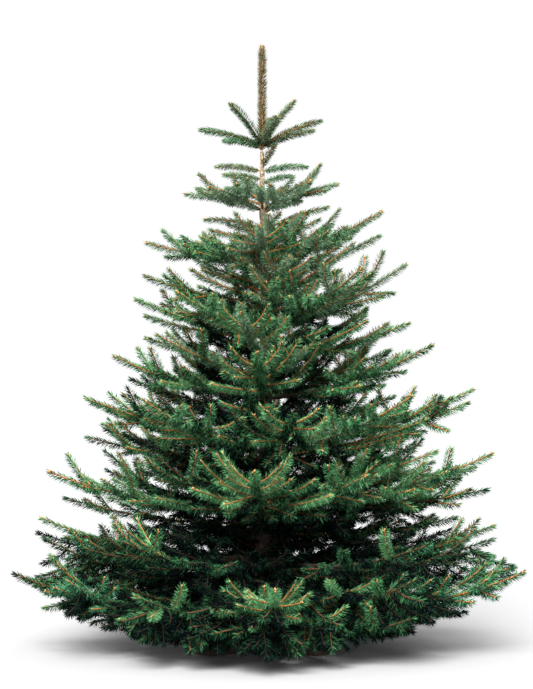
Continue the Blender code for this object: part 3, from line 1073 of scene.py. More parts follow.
class Shoot(NamedTuple):
    """A twig of the solids: an arc with teeth for needles beyond its bare share."""

    rule: Rule
    arc: Arc
    bare: float
    root_radius: float
    needle_reach: float
    roll: float

    def teeth(self) -> int:
        """How many teeth it has."""
        return max(2, int(self.arc.length * (1 - self.bare) / self.rule.tooth))

    def nearest_neck(self, share: float) -> float:
        """The place nearest to a share of the length where the shoot is slim.

        Args:
            share: The share.

        Returns:
            The nearest share between two teeth.
        """
        pitch = (1 - self.bare) / self.teeth()
        tooth = round((share - self.bare) / pitch - self.rule.tooth_end)
        return self.bare + pitch * (max(0, min(self.teeth() - 2, tooth)) + self.rule.tooth_end)

    def rings(self) -> list[tuple[float, float]]:
        """(share, radius) of each ring, from the root to just short of the tip.

        Returns:
            The rings.
        """
        teeth = self.teeth()
        pitch = (1 - self.bare) / teeth
        rings = [(0.0, self.root_radius)]
        if self.bare:
            rings.append((self.bare, self.root_radius * 0.9))
        for tooth in range(teeth):
            begin = self.bare + pitch * tooth
            reach = self.needle_reach * (1 - 0.4 * (tooth / teeth) ** 2)
            rings.append((begin + pitch * self.rule.tooth_peak, reach))
            if tooth < teeth - 1:
                rings.append((begin + pitch * self.rule.tooth_end, reach * self.rule.core))
        return rings

    def outer_points(self) -> list[Vector]:
        """The tips of its needles and of the shoot itself.

        Returns:
            The points.
        """
        points, sides = [], self.rule.twig_sides
        for share, radius in self.rings()[1:]:
            centre, heading = self.arc.point(share), self.arc.heading(share)
            points += ring_points(centre, heading, radius, sides, self.roll)
        return [*points, self.arc.point(1)]


class Mass:
    """The shoots of one mass, and the space that they keep to."""

    def __init__(self, stem: Shoot, space: Space) -> None:
        """Start a mass from its stem.

        Args:
            stem: The mass's main shoot.
            space: What the mass may fill.
        """
        self.rule = stem.rule
        self.space = space
        self.shoots = [stem]
        self.axis_points = [stem.arc.point(k / 24) for k in range(25)]

    def crowded(self, arc: Arc) -> bool:
        """Whether a twig would come close to an earlier one beyond the needles at its root.

        Args:
            arc: The twig.

        Returns:
            True if it is too close.
        """
        rule = self.rule
        points = [arc.point(share) for share in (0.4, 0.6, 0.8, 1.0)]
        away = [point for point in points if (point - arc.start).length > 2 * rule.needle_reach]
        return any(
            (point - other).length < rule.clearance for point in away for other in self.axis_points
        )

    def add(self, shoot: Shoot) -> Shoot | None:
        """Add a shoot, or a shorter one where the whole would leave the space.

        Args:
            shoot: The shoot.

        Returns:
            The shoot as added, or None if not even the shortest fits.
        """
        for shorter in (1.0, 0.85, 0.7, 0.55):
            arc = shoot.arc._replace(length=shoot.arc.length * shorter)
            if arc.length < self.rule.shortest or self.crowded(arc):
                continue
            cut = shoot._replace(arc=arc)
            if all(self.space.holds(point) for point in cut.outer_points()):
                self.shoots.append(cut)
                self.axis_points += [arc.point(k / 12) for k in range(1, 13)]
                return cut
        return None

    def _add_small(self, arc: Arc, chance: Chance) -> None:
        """Add a slimmer twig without bare wood.

        Args:
            arc: Its centre line.
            chance: Where its roll comes from.
        """
        rule = self.rule
        roll = chance.uniform(-rule.roll, rule.roll)
        radius, reach = rule.twig_radius * 0.8, rule.needle_reach * 0.92
        self.add(Shoot(rule, arc, 0.0, radius, reach, roll))

    def grow(self, first_node: float, hanging: int, chance: Chance) -> None:
        """Add side twigs, twigs of the longer ones, and hanging twigs.

        Args:
            first_node: Where the stem's first node is, as a share of its length.
            hanging: How many twigs hang from the stem.
            chance: Source of the small differences.
        """
        rule, main = self.rule, self.shoots[0]
        for twig in rule.side_twigs(main, first_node, chance):
            long_twig = rule.years_of(twig.length) > 1
            roll = chance.uniform(-rule.roll, rule.roll)
            bare = 0.14 if long_twig else 0.0
            shoot = self.add(Shoot(rule, twig, bare, rule.twig_radius, rule.needle_reach, roll))
            if shoot is None or not long_twig:
                continue
            for small in rule.side_twigs(shoot, 0.40, chance)[:2]:
                self._add_small(small, chance)
        for twig in rule.hanging_twigs(main.arc, hanging, chance):
            self._add_small(twig, chance)


# ---- the finer crown


# Lesser boughs with places of their own: tier, height on the trunk, azimuth in degrees and reach.
OWN_PLACES = (
    (0, 0.262, 181, 0.68),
    (0, 0.240, 2, 0.70),
    (1, 0.377, 183, 0.60),
    (1, 0.446, 4, 0.68),
    (2, 0.570, 176, 0.49),
    (2, 0.583, -6, 0.61),
    (3, 0.572, 278, 0.58),
    (3, 0.660, 262, 0.42),
    (4, 0.800, 287, 0.37),
    (4, 0.857, 184, 0.36),
    (4, 0.890, 84, 0.36),
    (4, 0.880, 294, 0.30),
    (1, 0.350, -8, 0.58),
    (2, 0.560, 187, 0.54),
    (3, 0.665, -18, 0.40),
    (4, 0.930, 181, 0.36),
    (6, 1.100, -25, 0.25),
    (6, 1.100, 205, 0.20),
    (7, 1.255, 196, 0.18),
    (7, 1.250, -14, 0.20),
    (3, 0.700, 178, 0.41),
    (4, 0.862, -3, 0.43),
    (5, 1.038, 185, 0.36),
    (5, 1.083, 5, 0.35),
    (1, 0.420, 24, 0.55),
    (1, 0.400, -35, 0.46),
)
# Short shoots high on the trunk: height, azimuth and slope in degrees, and length.
TOP_SHOOTS = (
    (1.498, 6, 30, 0.165),
    (1.436, -38, 66, 0.085),
    (1.402, 187, 18, 0.115),
    (1.392, 24, 26, 0.095),
    (1.366, 148, 44, 0.080),
    (1.352, -24, 22, 0.095),
)
# How many lesser boughs grow between each tier and the next.
BETWEEN = (11, 11, 9, 8, 8, 8, 5)
# How far out a tier's needles are painted dark, and how far painted in shade, as shares of its
# reach: painted shade for the crown's heart.
DARK_TO = (
    (0.46, 0.61),
    (0.46, 0.61),
    (0.38, 0.48),
    (0.38, 0.48),
    (0.34, 0.44),
    (0.24, 0.34),
    (0.24, 0.34),
    (0.24, 0.34),
)


class Bay(NamedTuple):
    """An opening between two tiers that no finer limb grows into."""

    azimuth_deg: float
    half_width_deg: float
    low: float
    high: float
    inner: float

    def holds(self, point: Vector) -> bool:
        """Whether a point is in the opening.

        Args:
            point: The point.

        Returns:
            True if it is.
        """
        if not self.low < point.z < self.high or math.hypot(point.x, point.y) < self.inner:
            return False
        apart = math.degrees(math.atan2(point.y, point.x)) - self.azimuth_deg
        return abs((apart + 180) % 360 - 180) < self.half_width_deg


BAYS = (
    Bay(270, 63, 0.262, 0.345, 0.38),
    Bay(180, 40, 0.362, 0.425, 0.40),
    Bay(270, 50, 0.745, 0.815, 0.18),
)


class Part(Enum):
    """What a limb is to its mass."""

    STEM = "stem"
    SIDE = "side"
    FILLER = "filler"
    HANGING = "hanging"
    FRINGE = "fringe"
    INNER = "inner"
    RING = "ring"
    LEADER = "leader"


@dataclass
class Limb:
    """One limb of the finished crown, with the needles that it carries."""

    arc: Arc
    part: Part
    tier: int
    order: int
    root_radius: float
    tip_radius: float
    needle: float
    bare: float = 0.0
    density: float = 1.0
    node_of: str = ""
    buds: int = 3
    sector: int = 0
    spray: Spray = Spray.MIDDLE


class Node(NamedTuple):
    """Where twigs leave a limb: how far along, the wood left beyond, and how far it faces front."""

    limb: Limb
    share: float
    left: float
    facing: float


# How close to other limbs some parts may come, as shares of the usual clearance.
CLOSENESS = {Part.HANGING: 0.55, Part.INNER: 0.55, Part.FRINGE: 0.34}
HANG_SLOPES = (math.radians(-80), math.radians(-35))


class Room:
    """Where limbs already run, kept in small cells, so that a new one can keep clear of them."""

    def __init__(self, cell: float) -> None:
        """Start empty, with cells of this size."""
        self.cell = cell
        self.cells: dict[tuple[int, int, int], list[Vector]] = {}

    def _cell_of(self, point: Vector) -> tuple[int, int, int]:
        """The cell that a point is in."""
        return tuple(math.floor(along / self.cell) for along in point)

    def add(self, arc: Arc) -> None:
        """Enter a limb's line.

        Args:
            arc: The line.
        """
        count = max(2, round(arc.length / (self.cell * 0.6)))
        for k in range(1, count + 1):
            point = arc.point(k / count)
            self.cells.setdefault(self._cell_of(point), []).append(point)

    def crowded(self, arc: Arc, free_root: float, clearance: float) -> bool:
        """Whether a new limb comes close to an earlier one, beyond its own root.

        Args:
            arc: The new limb's line.
            free_root: How far from its start nothing counts.
            clearance: How close is too close; at most a cell's size.

        Returns:
            True if it is too close.
        """
        for share in (0.35, 0.5, 0.65, 0.8, 1.0):
            point = arc.point(share)
            if (point - arc.start).length < free_root:
                continue
            for cell in product(*((near - 1, near, near + 1) for near in self._cell_of(point))):
                if any((point - other).length < clearance for other in self.cells.get(cell, ())):
                    return True
        return False


@dataclass
class Crown:
    """All limbs of the crown: those of the solids, and the finer ones that grow on from them."""

    rule: Rule
    clearance: float = 0.0250
    free_root: float = 0.040
    finest: float = 0.085
    longest_side: float = 0.30
    longest_upright: float = 0.16
    longest_between: float = 0.15
    lowest: float = 0.044
    fringe_from: float = 0.40
    fringe_rise: float = 0.03
    bare_from: float = 1.46
    off_trunk: float = 0.006
    inside: float = 0.95
    side_rise: float = 0.45
    skirt_boughs: int = 15
    fringe_twigs: int = 76
    fringe_hosts: int = 12
    heart_shoots: int = 26
    shoots_from: float = 0.14
    shoots_to: float = 1.27
    shoots_turn: float = math.radians(137.5)
    top_density: float = 1.7
    ring_density: float = 1.9
    leader_density: float = 2.6
    top_needle: float = 0.0195
    ring_needle: float = 0.0205
    stem_tip: float = 0.0020
    twig_tip: float = 0.0018
    long_root: float = 0.0034
    short_root: float = 0.0028
    fine_root: float = 0.0024
    limbs: list[Limb] = field(default_factory=list)
    room: Room = field(init=False)

    def __post_init__(self) -> None:
        """Mark out the cells for the limbs."""
        self.room = Room(self.clearance)

    def grow(self) -> None:
        """Grow the whole crown."""
        for index in range(len(TIERS)):
            self._grow_tier(index)
        self._grow_branchlets()
        self._grow_leader()
        of_solids = len(self.limbs)
        self.limbs += self._own_boughs()
        for limb in self.limbs:
            self.room.add(limb.arc)
        for limb in self._filler_boughs() + self._trunk_shoots():
            self._try(limb)
        for order in range(1, 4):
            self._grow_order(order)
        for limb in self._heart_shoots():
            self._try(limb)
        self._hang_fringe()
        LOG.info("limbs: %d of the solids, %d in all", of_solids, len(self.limbs))

    def _grow_tier(self, index: int) -> None:
        """The limbs of one tier's solids, by the source's rule.

        Args:
            index: The tier's number.
        """
        tier, rule = TIERS[index], self.rule
        needle, density = self._needle_length(index), self._density(index)
        for k, space in enumerate(Space.of_tier(rule, index)):
            chance = random.Random(SEED * 100 + index * 10 + k)
            whole = rule.bough_arc(tier, space.azimuth)
            stem, foot_radius, bare, first_node = whole, tier.foot_radius, 0.16, 0.22
            # Bare wood is a bough of its own in the solids, and the mass starts beyond it.
            if tier.bare:
                stem = whole.beyond(tier.bare + GAP / whole.length)
                foot_radius, bare, first_node = rule.stem_radius, 0.04, 0.06
            mass = Mass(Shoot(rule, stem, bare, foot_radius, rule.needle_reach * 1.05, 0.0), space)
            mass.grow(first_node, tier.hanging, chance)
            node = f"foliage_{tier.name}_{k + 1}"
            sector = self._sector(index, space.azimuth)
            needled_from = tier.bare or (0.12 if index < 5 else 0.04)
            self.limbs.append(
                Limb(
                    whole, Part.STEM, index, 0, tier.foot_radius, self.stem_tip, needle,
                    needled_from, density, node, sector=sector,
                )
            )
            for shoot in mass.shoots[1:]:
                root = self.long_root if shoot.arc.length > 0.2 else self.short_root
                self.limbs.append(
                    Limb(
                        shoot.arc, Part.SIDE, index, 1, root, self.twig_tip, needle,
                        shoot.bare * 0.3, density, node, sector=sector,
                    )
                )

    @staticmethod
    def _needle_length(index: int) -> float:
        """Needle length on a tier; the top's are shorter."""
        return 0.0240 - 0.0040 * (index / (len(TIERS) - 1)) ** 2

    @staticmethod
    def _density(index: int) -> float:
        """How densely a tier's shoots are set with needles; the open top's are fuller."""
        return 0.95 if index < 4 else 1.15 if index < 6 else 1.2

    @staticmethod
    def _sector(index: int, azimuth: float) -> int:
        """Which of a tier's pieces a limb is in: the large tiers have a front and a back."""
        return int(index < 4 and math.sin(azimuth) > 0)

    def _grow_branchlets(self) -> None:
        """The short single shoots above the top tier."""
        rule, tier = self.rule, len(TIERS)
        height, slope = rule.branchlet_height, math.radians(20)
        looks = (tier, 3, 0.0030, self.twig_tip, self.top_needle)
        for k, azimuth_deg in enumerate(rule.branchlet_azimuths_deg):
            azimuth = math.radians(azimuth_deg)
            off = rule.trunk.stand_off(height, azimuth, slope, rule.twig_radius, rule.twig_sides)
            foot = rule.trunk.centre(height) + outward(azimuth, 0) * off
            ends = outward(azimuth, slope), outward(azimuth, -slope / 3)
            arc = Arc(foot, *ends, rule.branchlet_length)
            node = f"foliage_branchlet_{k + 1}"
            self.limbs.append(Limb(arc, Part.RING, *looks, 0.0, self.top_density, node))
        for height, azimuth_deg, slope_deg, length in TOP_SHOOTS:
            start = rule.trunk.centre(height)
            arc = rule.ring_arc(start, math.radians(azimuth_deg), slope_deg, length)
            self.limbs.append(Limb(arc, Part.RING, *looks, 0.05, self.top_density))

    def _grow_leader(self) -> None:
        """The leader and the ring of shoots round its foot."""
        rule, tier, node = self.rule, len(TIERS), "foliage_leader"
        foot = UP * (rule.trunk.top + GAP)
        leader = Arc(foot, UP, UP, rule.tree_height - foot.z - 0.004)
        looks = (tier, 3, 0.0060, 0.0028, self.top_needle)
        self.limbs.append(Limb(leader, Part.LEADER, *looks, 0.0, self.leader_density, node, 5))
        chance = random.Random(SEED)
        looks = (tier, 3, 0.0036, 0.0020, self.ring_needle)
        for k, slope_deg in enumerate(rule.ring_slopes_deg):
            azimuth = math.radians(rule.ring_turn_deg + k * 360 / len(rule.ring_slopes_deg))
            start = foot + UP * (rule.ring_height + rule.ring_stagger * (k % 3))
            length = rule.ring_length * chance.uniform(0.88, 1.06)
            arc = rule.ring_arc(start, azimuth, slope_deg, length)
            self.limbs.append(Limb(arc, Part.RING, *looks, 0.03, self.ring_density, node))

    def _own_boughs(self) -> list[Limb]:
        """The lesser boughs that have places of their own.

        Returns:
            The boughs.
        """
        chance = random.Random(SEED * 17)
        return [
            self._filler(index, height, math.radians(azimuth_deg), reach, 0.0, chance)
            for index, height, azimuth_deg, reach in OWN_PLACES
        ]

    def _filler_boughs(self) -> list[Limb]:
        """Lesser boughs between the tiers' own, which fill the crown's heart, where their needles
        are painted in shade.

        Returns:
            The boughs.
        """
        chance = random.Random(SEED * 7)
        fillers = []
        for index in range(len(TIERS)):
            fillers += self._beside_boughs(index, chance)
            if index == 0:
                fillers += self._skirt_fillers(chance)
            if index < len(BETWEEN):
                fillers += self._between_tiers(index, chance)
        return fillers

    def _beside_boughs(self, index: int, chance: Chance) -> list[Limb]:
        """Lesser boughs half-way round from one bough of a tier to the next.

        Args:
            index: The tier's number.
            chance: Source of the small differences.

        Returns:
            The boughs.
        """
        tier, fillers = TIERS[index], []
        for space in Space.of_tier(self.rule, index):
            azimuth = space.azimuth + space.left_edge + chance.uniform(-0.1, 0.1)
            height = tier.height + chance.uniform(-0.02, 0.035)
            reach = tier.reach * chance.uniform(0.76, 0.92)
            if index == 1 and -math.sin(azimuth) > 0.5:
                reach *= 0.78
            fillers.append(self._filler(index, height, azimuth, reach, 0.0, chance))
        return fillers

    def _skirt_fillers(self, chance: Chance) -> list[Limb]:
        """Lesser boughs all round the skirt, which droop below its own.

        Args:
            chance: Source of the small differences.

        Returns:
            The boughs.
        """
        tier, fillers = TIERS[0], []
        for k in range(self.skirt_boughs):
            azimuth = 2 * math.pi * (k + chance.uniform(-0.3, 0.3)) / self.skirt_boughs
            height = tier.height + chance.uniform(-0.035, 0.01)
            reach = tier.reach * chance.uniform(0.70, 0.93)
            fillers.append(self._filler(0, height, azimuth, reach, -0.11, chance))
        return fillers

    def _between_tiers(self, index: int, chance: Chance) -> list[Limb]:
        """Lesser boughs between a tier and the next, shorter where the front is open.

        Args:
            index: The lower tier's number.
            chance: Source of the small differences.

        Returns:
            The boughs.
        """
        tier, above, count = TIERS[index], TIERS[index + 1], BETWEEN[index]
        fillers = []
        for k in range(count):
            turn = math.radians(tier.turn_deg + 20)
            azimuth = turn + 2 * math.pi * (k + chance.uniform(-0.3, 0.3)) / count
            if abs(math.cos(azimuth)) > 0.93 and index > 0:
                continue
            share = chance.uniform(0.3, 0.7)
            height = tier.height + (above.height - tier.height) * share
            reach = tier.reach + (above.reach - tier.reach) * share
            shorter = index == 6 or index < 3 and -math.sin(azimuth) > 0.5
            reach *= chance.uniform(0.50, 0.68) if shorter else chance.uniform(0.64, 0.94)
            fillers.append(self._filler(index, height, azimuth, reach, 0.04, chance))
        return fillers

    def _trunk_shoots(self) -> list[Limb]:
        """Short shoots straight from the trunk, between the tiers.

        Returns:
            The shoots.
        """
        chance = random.Random(SEED * 11)
        shoots = []
        height, azimuth = self.shoots_from, 0.0
        while height < self.shoots_to:
            index = max(k for k, tier in enumerate(TIERS) if tier.height <= height + 0.04)
            reach = min(0.27, TIERS[index].reach * chance.uniform(0.38, 0.58))
            if height > 1.14:
                reach = chance.uniform(0.085, 0.125)
            rise = chance.uniform(0.0, 0.45)
            shoots.append(self._filler(index, height, azimuth, reach, rise, chance, Part.INNER))
            azimuth += self.shoots_turn
            # Closest together behind the low tiers, where the view through would be widest.
            height += 0.007 if 0.24 < height < 0.66 else 0.011 if height < 1.12 else 0.015
        return shoots

    def _heart_shoots(self) -> list[Limb]:
        """Unbranched shoots at the back, which close the view through the crown's heart, their
        needles mostly painted in shade.

        Returns:
            The shoots.
        """
        chance = random.Random(SEED * 43)
        shoots = []
        for _ in range(self.heart_shoots):
            azimuth = math.radians(chance.uniform(35, 145))
            height, reach = chance.uniform(0.28, 0.41), chance.uniform(0.26, 0.46)
            rise = chance.uniform(-0.1, 0.2)
            shoot = self._filler(1, height, azimuth, reach, rise, chance, Part.INNER)
            shoot.order = 3
            shoots.append(shoot)
        return shoots

    def _hang_fringe(self) -> None:
        """Twigs that hang from the skirt's rim all round, their needles painted in shade so that
        they show dark against the floor.
        """
        chance = random.Random(SEED * 41)
        near, far = (share * TIERS[0].reach for share in (0.60, 0.90))
        skirt = [limb.arc for limb in self.limbs if limb.tier == 0]
        spots = [arc.point(share) for arc in skirt for share in (0.3, 0.5, 0.7, 0.9)]
        rim = [at for at in spots if near < math.hypot(at.x, at.y) < far and 0.09 < at.z < 0.17]
        looks = (0.0020, 0.0014, self._needle_length(0), 0.02, 1.15)
        for k in range(self.fringe_twigs):
            azimuth = 2 * math.pi * (k + chance.uniform(-0.3, 0.3)) / self.fringe_twigs
            toward, across = outward(azimuth, 0), outward(azimuth + math.pi / 2, 0)
            along = [at for at in rim if toward.dot(at) > 0 and abs(across.dot(at)) < 0.05]
            chance.shuffle(along)
            for spot in along[: self.fringe_hosts]:
                aside = across * chance.uniform(-0.35, 0.35)
                first = (toward * chance.uniform(0.3, 0.6) - UP + aside).normalized()
                last = (toward * chance.uniform(0.6, 1.1) - UP + aside).normalized()
                arc = Arc(spot, first, last, chance.uniform(0.085, 0.13))
                sector = self._sector(0, azimuth)
                if self._try(Limb(arc, Part.FRINGE, 0, 3, *looks, buds=1, sector=sector)):
                    break

    def _filler(
        self,
        index: int,
        height: float,
        azimuth: float,
        reach: float,
        rise: float,
        chance: Chance,
        part: Part = Part.FILLER,
    ) -> Limb:
        """One lesser bough, which starts just inside the trunk's bark.

        Args:
            index: The number of the tier that it belongs to.
            height: Where it starts.
            azimuth: Where it points to.
            reach: How far from the trunk's axis it goes.
            rise: How much more steeply than the tier's boughs it runs, in radians.
            chance: Source of the small differences.
            part: What it is to the crown.

        Returns:
            The limb.
        """
        start, tip = TIERS[index].slopes(azimuth)
        start += rise + chance.uniform(-0.08, 0.08)
        tip += rise + chance.uniform(-0.12, 0.04)
        trunk = self.rule.trunk
        foot = trunk.centre(height) + outward(azimuth, 0) * (trunk.radius(height) * 0.7)
        length = (reach - trunk.radius(height)) / ((math.cos(start) + math.cos(tip)) / 2)
        arc = Arc(foot, outward(azimuth, start), outward(azimuth, tip), length)
        looks = (0.0044, 0.0014, self._needle_length(index), 0.2, self._density(index))
        return Limb(arc, part, index, 0, *looks, sector=self._sector(index, azimuth))

    def _try(self, limb: Limb) -> bool:
        """Add a limb if there is room for it, shorter if need be.

        Args:
            limb: The limb.

        Returns:
            Whether it was added.
        """
        clearance = self.clearance * CLOSENESS.get(limb.part, 1.0)
        for shorter in (1.0, 0.8, 0.62):
            arc = limb.arc._replace(length=limb.arc.length * shorter)
            if arc.length < self.finest:
                return False
            if self._fits(arc, limb.tier) and not self.room.crowded(arc, self.free_root, clearance):
                limb.arc = arc
                self.limbs.append(limb)
                self.room.add(arc)
                return True
        return False

    def _fits(self, arc: Arc, tier: int) -> bool:
        """Whether a limb stays off the trunk, above the floor and inside its tier's reach.

        Args:
            arc: The limb's line.
            tier: The number of its tier.

        Returns:
            True if it does.
        """
        form = TIERS[tier]
        for share in (0.5, 0.75, 1.0):
            point = arc.point(share)
            across = point - self.rule.trunk.centre(point.z)
            across.z = 0
            sideways = (across.x / max(0.01, across.length)) ** 2
            rise = self.fringe_rise + self.side_rise * sideways
            fringe = self.lowest + rise * max(0.0, across.length - self.fringe_from)
            if not fringe < point.z < self.bare_from:
                return False
            if any(bay.holds(point) for bay in BAYS):
                return False
            if across.length < self.rule.trunk.radius(point.z) + self.off_trunk:
                return False
            azimuth = math.atan2(across.y, across.x)
            if across.length > form.reach * (1 + form.skew * math.cos(azimuth)) * self.inside:
                return False
        return True

    def _grow_order(self, order: int) -> None:
        """One more order of twigs on every limb that is old enough.

        Args:
            order: The order; a tier's boughs are 0.
        """
        chance = random.Random(SEED * 31 + order)
        for limb in [one for one in self.limbs if one.order == order - 1]:
            for twig in self._twigs_of(limb, order, chance):
                self._try(twig)

    def _twigs_of(self, limb: Limb, order: int, chance: Chance) -> list[Limb]:
        """The twigs of one limb: a whorl at each year's node, and lesser ones on older wood.

        Args:
            limb: The limb.
            order: The twigs' order.
            chance: Source of the small differences.

        Returns:
            The twigs.
        """
        twigs: list[Limb] = []
        if limb.tier >= len(TIERS) or limb.tier > 5 and order > 1:
            return twigs
        ahead = limb.arc.first
        facing = -ahead.y / max(0.01, math.hypot(ahead.x, ahead.y))
        closer = 0.70 if order == 1 and facing > 0.9 else 1.0
        year = self.rule.year * chance.uniform(1.0, 1.3) * closer
        first, age = max(limb.bare, 0.08), 1
        while (share := 1 - year * age / limb.arc.length) >= first:
            node = Node(limb, share, year * age, facing)
            sides = self._whorl(node, chance)
            for back in (0.36, 0.70):
                inner = share - back * year / limb.arc.length
                if inner >= first and limb.tier <= 6:
                    sides += self._between_nodes(node, inner, chance)
            twigs += [self._twig(limb, arc, order, Part.SIDE) for arc in sides]
            if limb.tier < 6 and order <= 2 and (age > 1 or limb.tier == 0):
                below = self._below(node, year, first, chance)
                twigs += [self._twig(limb, arc, order, Part.HANGING) for arc in below]
            age += 1
        return twigs

    def _whorl(self, node: Node, chance: Chance) -> list[Arc]:
        """The twigs at one node: one to each side, and often one above or below.

        Args:
            node: The node.
            chance: Source of the small differences.

        Returns:
            The twigs.
        """
        rule, (limb, share, left, facing) = self.rule, node
        arcs = []
        sweep = 0.3
        if limb.tier or facing > 0.8:
            sweep = 1.6 if limb.tier == 1 and facing > 0.5 else 1.1
        for sign in (-1, 1):
            length = (rule.side_share * left + 0.042) * chance.uniform(0.85, 1.08)
            turn = chance.uniform(-0.05, 0.48) if share > 0.5 else chance.uniform(-0.25, 0.35)
            length = min(length, self.longest_side)
            arc = rule.side_twig(limb.arc, share, sign, length, math.tan(turn))
            upswept = arc.last + UP * (chance.uniform(0.1, 0.5) * sweep)
            arcs.append(arc._replace(last=upswept.normalized()))
        if chance.random() < 0.6 and limb.tier < 7:
            lift = math.tan(chance.choice((0.55, -0.5)) * chance.uniform(0.8, 1.2))
            length = min((rule.side_share * left + 0.02) * 0.85, self.longest_upright)
            arcs.append(rule.side_twig(limb.arc, share, chance.choice((-1, 1)), length, lift))
        return arcs

    def _between_nodes(self, node: Node, share: float, chance: Chance) -> list[Arc]:
        """The lesser pair of twigs behind a node.

        Args:
            node: The node.
            share: Where on the limb the pair is.
            chance: Source of the small differences.

        Returns:
            The twigs.
        """
        arcs = []
        for sign in (-1, 1):
            length = (self.rule.side_share * node.left * 0.4 + 0.08) * chance.uniform(0.8, 1.1)
            lift = math.tan(chance.uniform(-0.4, 0.3))
            length = min(length, self.longest_between)
            arcs.append(self.rule.side_twig(node.limb.arc, share, sign, length, lift))
        return arcs

    def _below(self, node: Node, year: float, first: float, chance: Chance) -> list[Arc]:
        """The twigs that hang near a node: many on the skirt, one elsewhere.

        Args:
            node: The node.
            year: How much the limb grows in a year.
            first: The share of the limb that bears nothing.
            chance: Source of the small differences.

        Returns:
            The twigs.
        """
        limb, arcs = node.limb, []
        count, ahead, longest = 1, 0.0, 0.13
        if limb.tier == 0:
            count, ahead, longest = 9 if node.facing > 0 else 6, 0.5, 0.20
        for _ in range(count):
            share = node.share + chance.uniform(-0.6, ahead) * year / limb.arc.length
            if share > first:
                aside, slope = chance.uniform(-0.6, 0.6), chance.uniform(*HANG_SLOPES)
                length = chance.uniform(0.09, longest)
                arcs.append(self.rule.hanging_twig(limb.arc, share, aside, slope, length))
        return arcs

    def _twig(self, limb: Limb, arc: Arc, order: int, part: Part) -> Limb:
        """A finer limb on another.

        Args:
            limb: The limb that it grows from.
            arc: Its centre line.
            order: Its order.
            part: What it is to the crown.

        Returns:
            The finer limb.
        """
        root = self.short_root if order == 1 else self.fine_root
        tip = arc.point(0.6)
        deep = math.hypot(tip.x, tip.y) < 0.5 * TIERS[limb.tier].reach and limb.tier < 4
        looks = (root, self.twig_tip, limb.needle, 0.04, 0.70 if deep else limb.density)
        buds = 2 if order < 3 and part is Part.SIDE else 1
        return Limb(arc, part, limb.tier, order, *looks, limb.node_of, buds, limb.sector)


# ---- needles, twigs and buds


@dataclass
class Needles:
    """How needles stand on a twig and what shape each has."""

    per_metre: float = 1420
    width: float = 0.0030
    widest_at: float = 0.42
    ridge: float = 0.30
    pale_share: float = 0.30
    dark_share: float = 0.30
    painted_light_above: float = 0.14
    lean: float = math.radians(56)
    tip_lean: float = math.radians(24)
    tip_zone: float = 0.022
    root_zone: float = 0.02
    parting: float = math.radians(44)
    golden_turn: float = math.pi * (3 - math.sqrt(5))

    def on(self, limb: Limb, chance: np.random.Generator) -> tuple[np.ndarray, np.ndarray]:
        """The corners of a limb's needles.

        Args:
            limb: The limb that carries them.
            chance: Source of the small differences.

        Returns:
            One row of four corners for each needle, root, right, tip and left, and which of its
            spray's three shades each wears.
        """
        reach = limb.arc.length * (1 - limb.bare)
        count = max(6, int(reach * self.per_metre * limb.density))
        along = (np.arange(count) + chance.uniform(0, 0.9, count)) / count
        shares = limb.bare + (1 - limb.bare) * along * 0.995
        heading, side, top = limb.arc.frames(shares)
        turn = np.arange(count) * self.golden_turn + chance.uniform(-0.25, 0.25, count)
        turn = np.remainder(turn + np.pi, 2 * np.pi) - np.pi
        parting = 0.0 if limb.part is Part.LEADER else self.parting
        turn = np.sign(turn) * (parting + np.abs(turn) * (1 - parting / np.pi))
        around = side * np.sin(turn)[:, None] + top * np.cos(turn)[:, None]
        end = np.clip((along * reach - (reach - self.tip_zone)) / self.tip_zone, 0, 1)
        lean = self.lean + (self.tip_lean - self.lean) * end + chance.normal(0, 0.075, count)
        lift = np.cos(turn) * 0.12
        out = heading * np.cos(lean - lift)[:, None] + around * np.sin(lean - lift)[:, None]
        length = limb.needle * chance.uniform(0.90, 1.05, count) * (1 - 0.22 * end)
        length *= 0.75 + 0.25 * np.clip(along * reach / self.root_zone, 0, 1)
        radius = limb.root_radius + (limb.tip_radius - limb.root_radius) * shares
        root = limb.arc.points(shares) + around * (radius * 0.6)[:, None]
        tip = root + out * length[:, None] + heading * (length * 0.08)[:, None]
        across = unit_rows(np.cross(heading, out))
        above = np.cross(out, across)
        spin = chance.uniform(-0.9, 0.9, count)[:, None]
        flat = across * np.cos(spin) + above * np.sin(spin)
        rise = np.cross(out, flat) * (self.width * self.ridge)
        middle = root + out * (length * self.widest_at)[:, None] + rise
        half = flat * (self.width / 2)
        # Painted light: needles on a shoot's upper side more often wear the pale shade, those
        # underneath the dark one; the rest of the spread is random.
        upper = np.cos(turn) * self.painted_light_above
        luck = chance.uniform(0, 1, count)
        dark = np.where(luck > 1 - self.dark_share + upper, 2, 0)
        worn = np.where(luck < self.pale_share + upper, 1, dark)
        return np.stack([root, middle + half, tip, middle - half], axis=1), worn


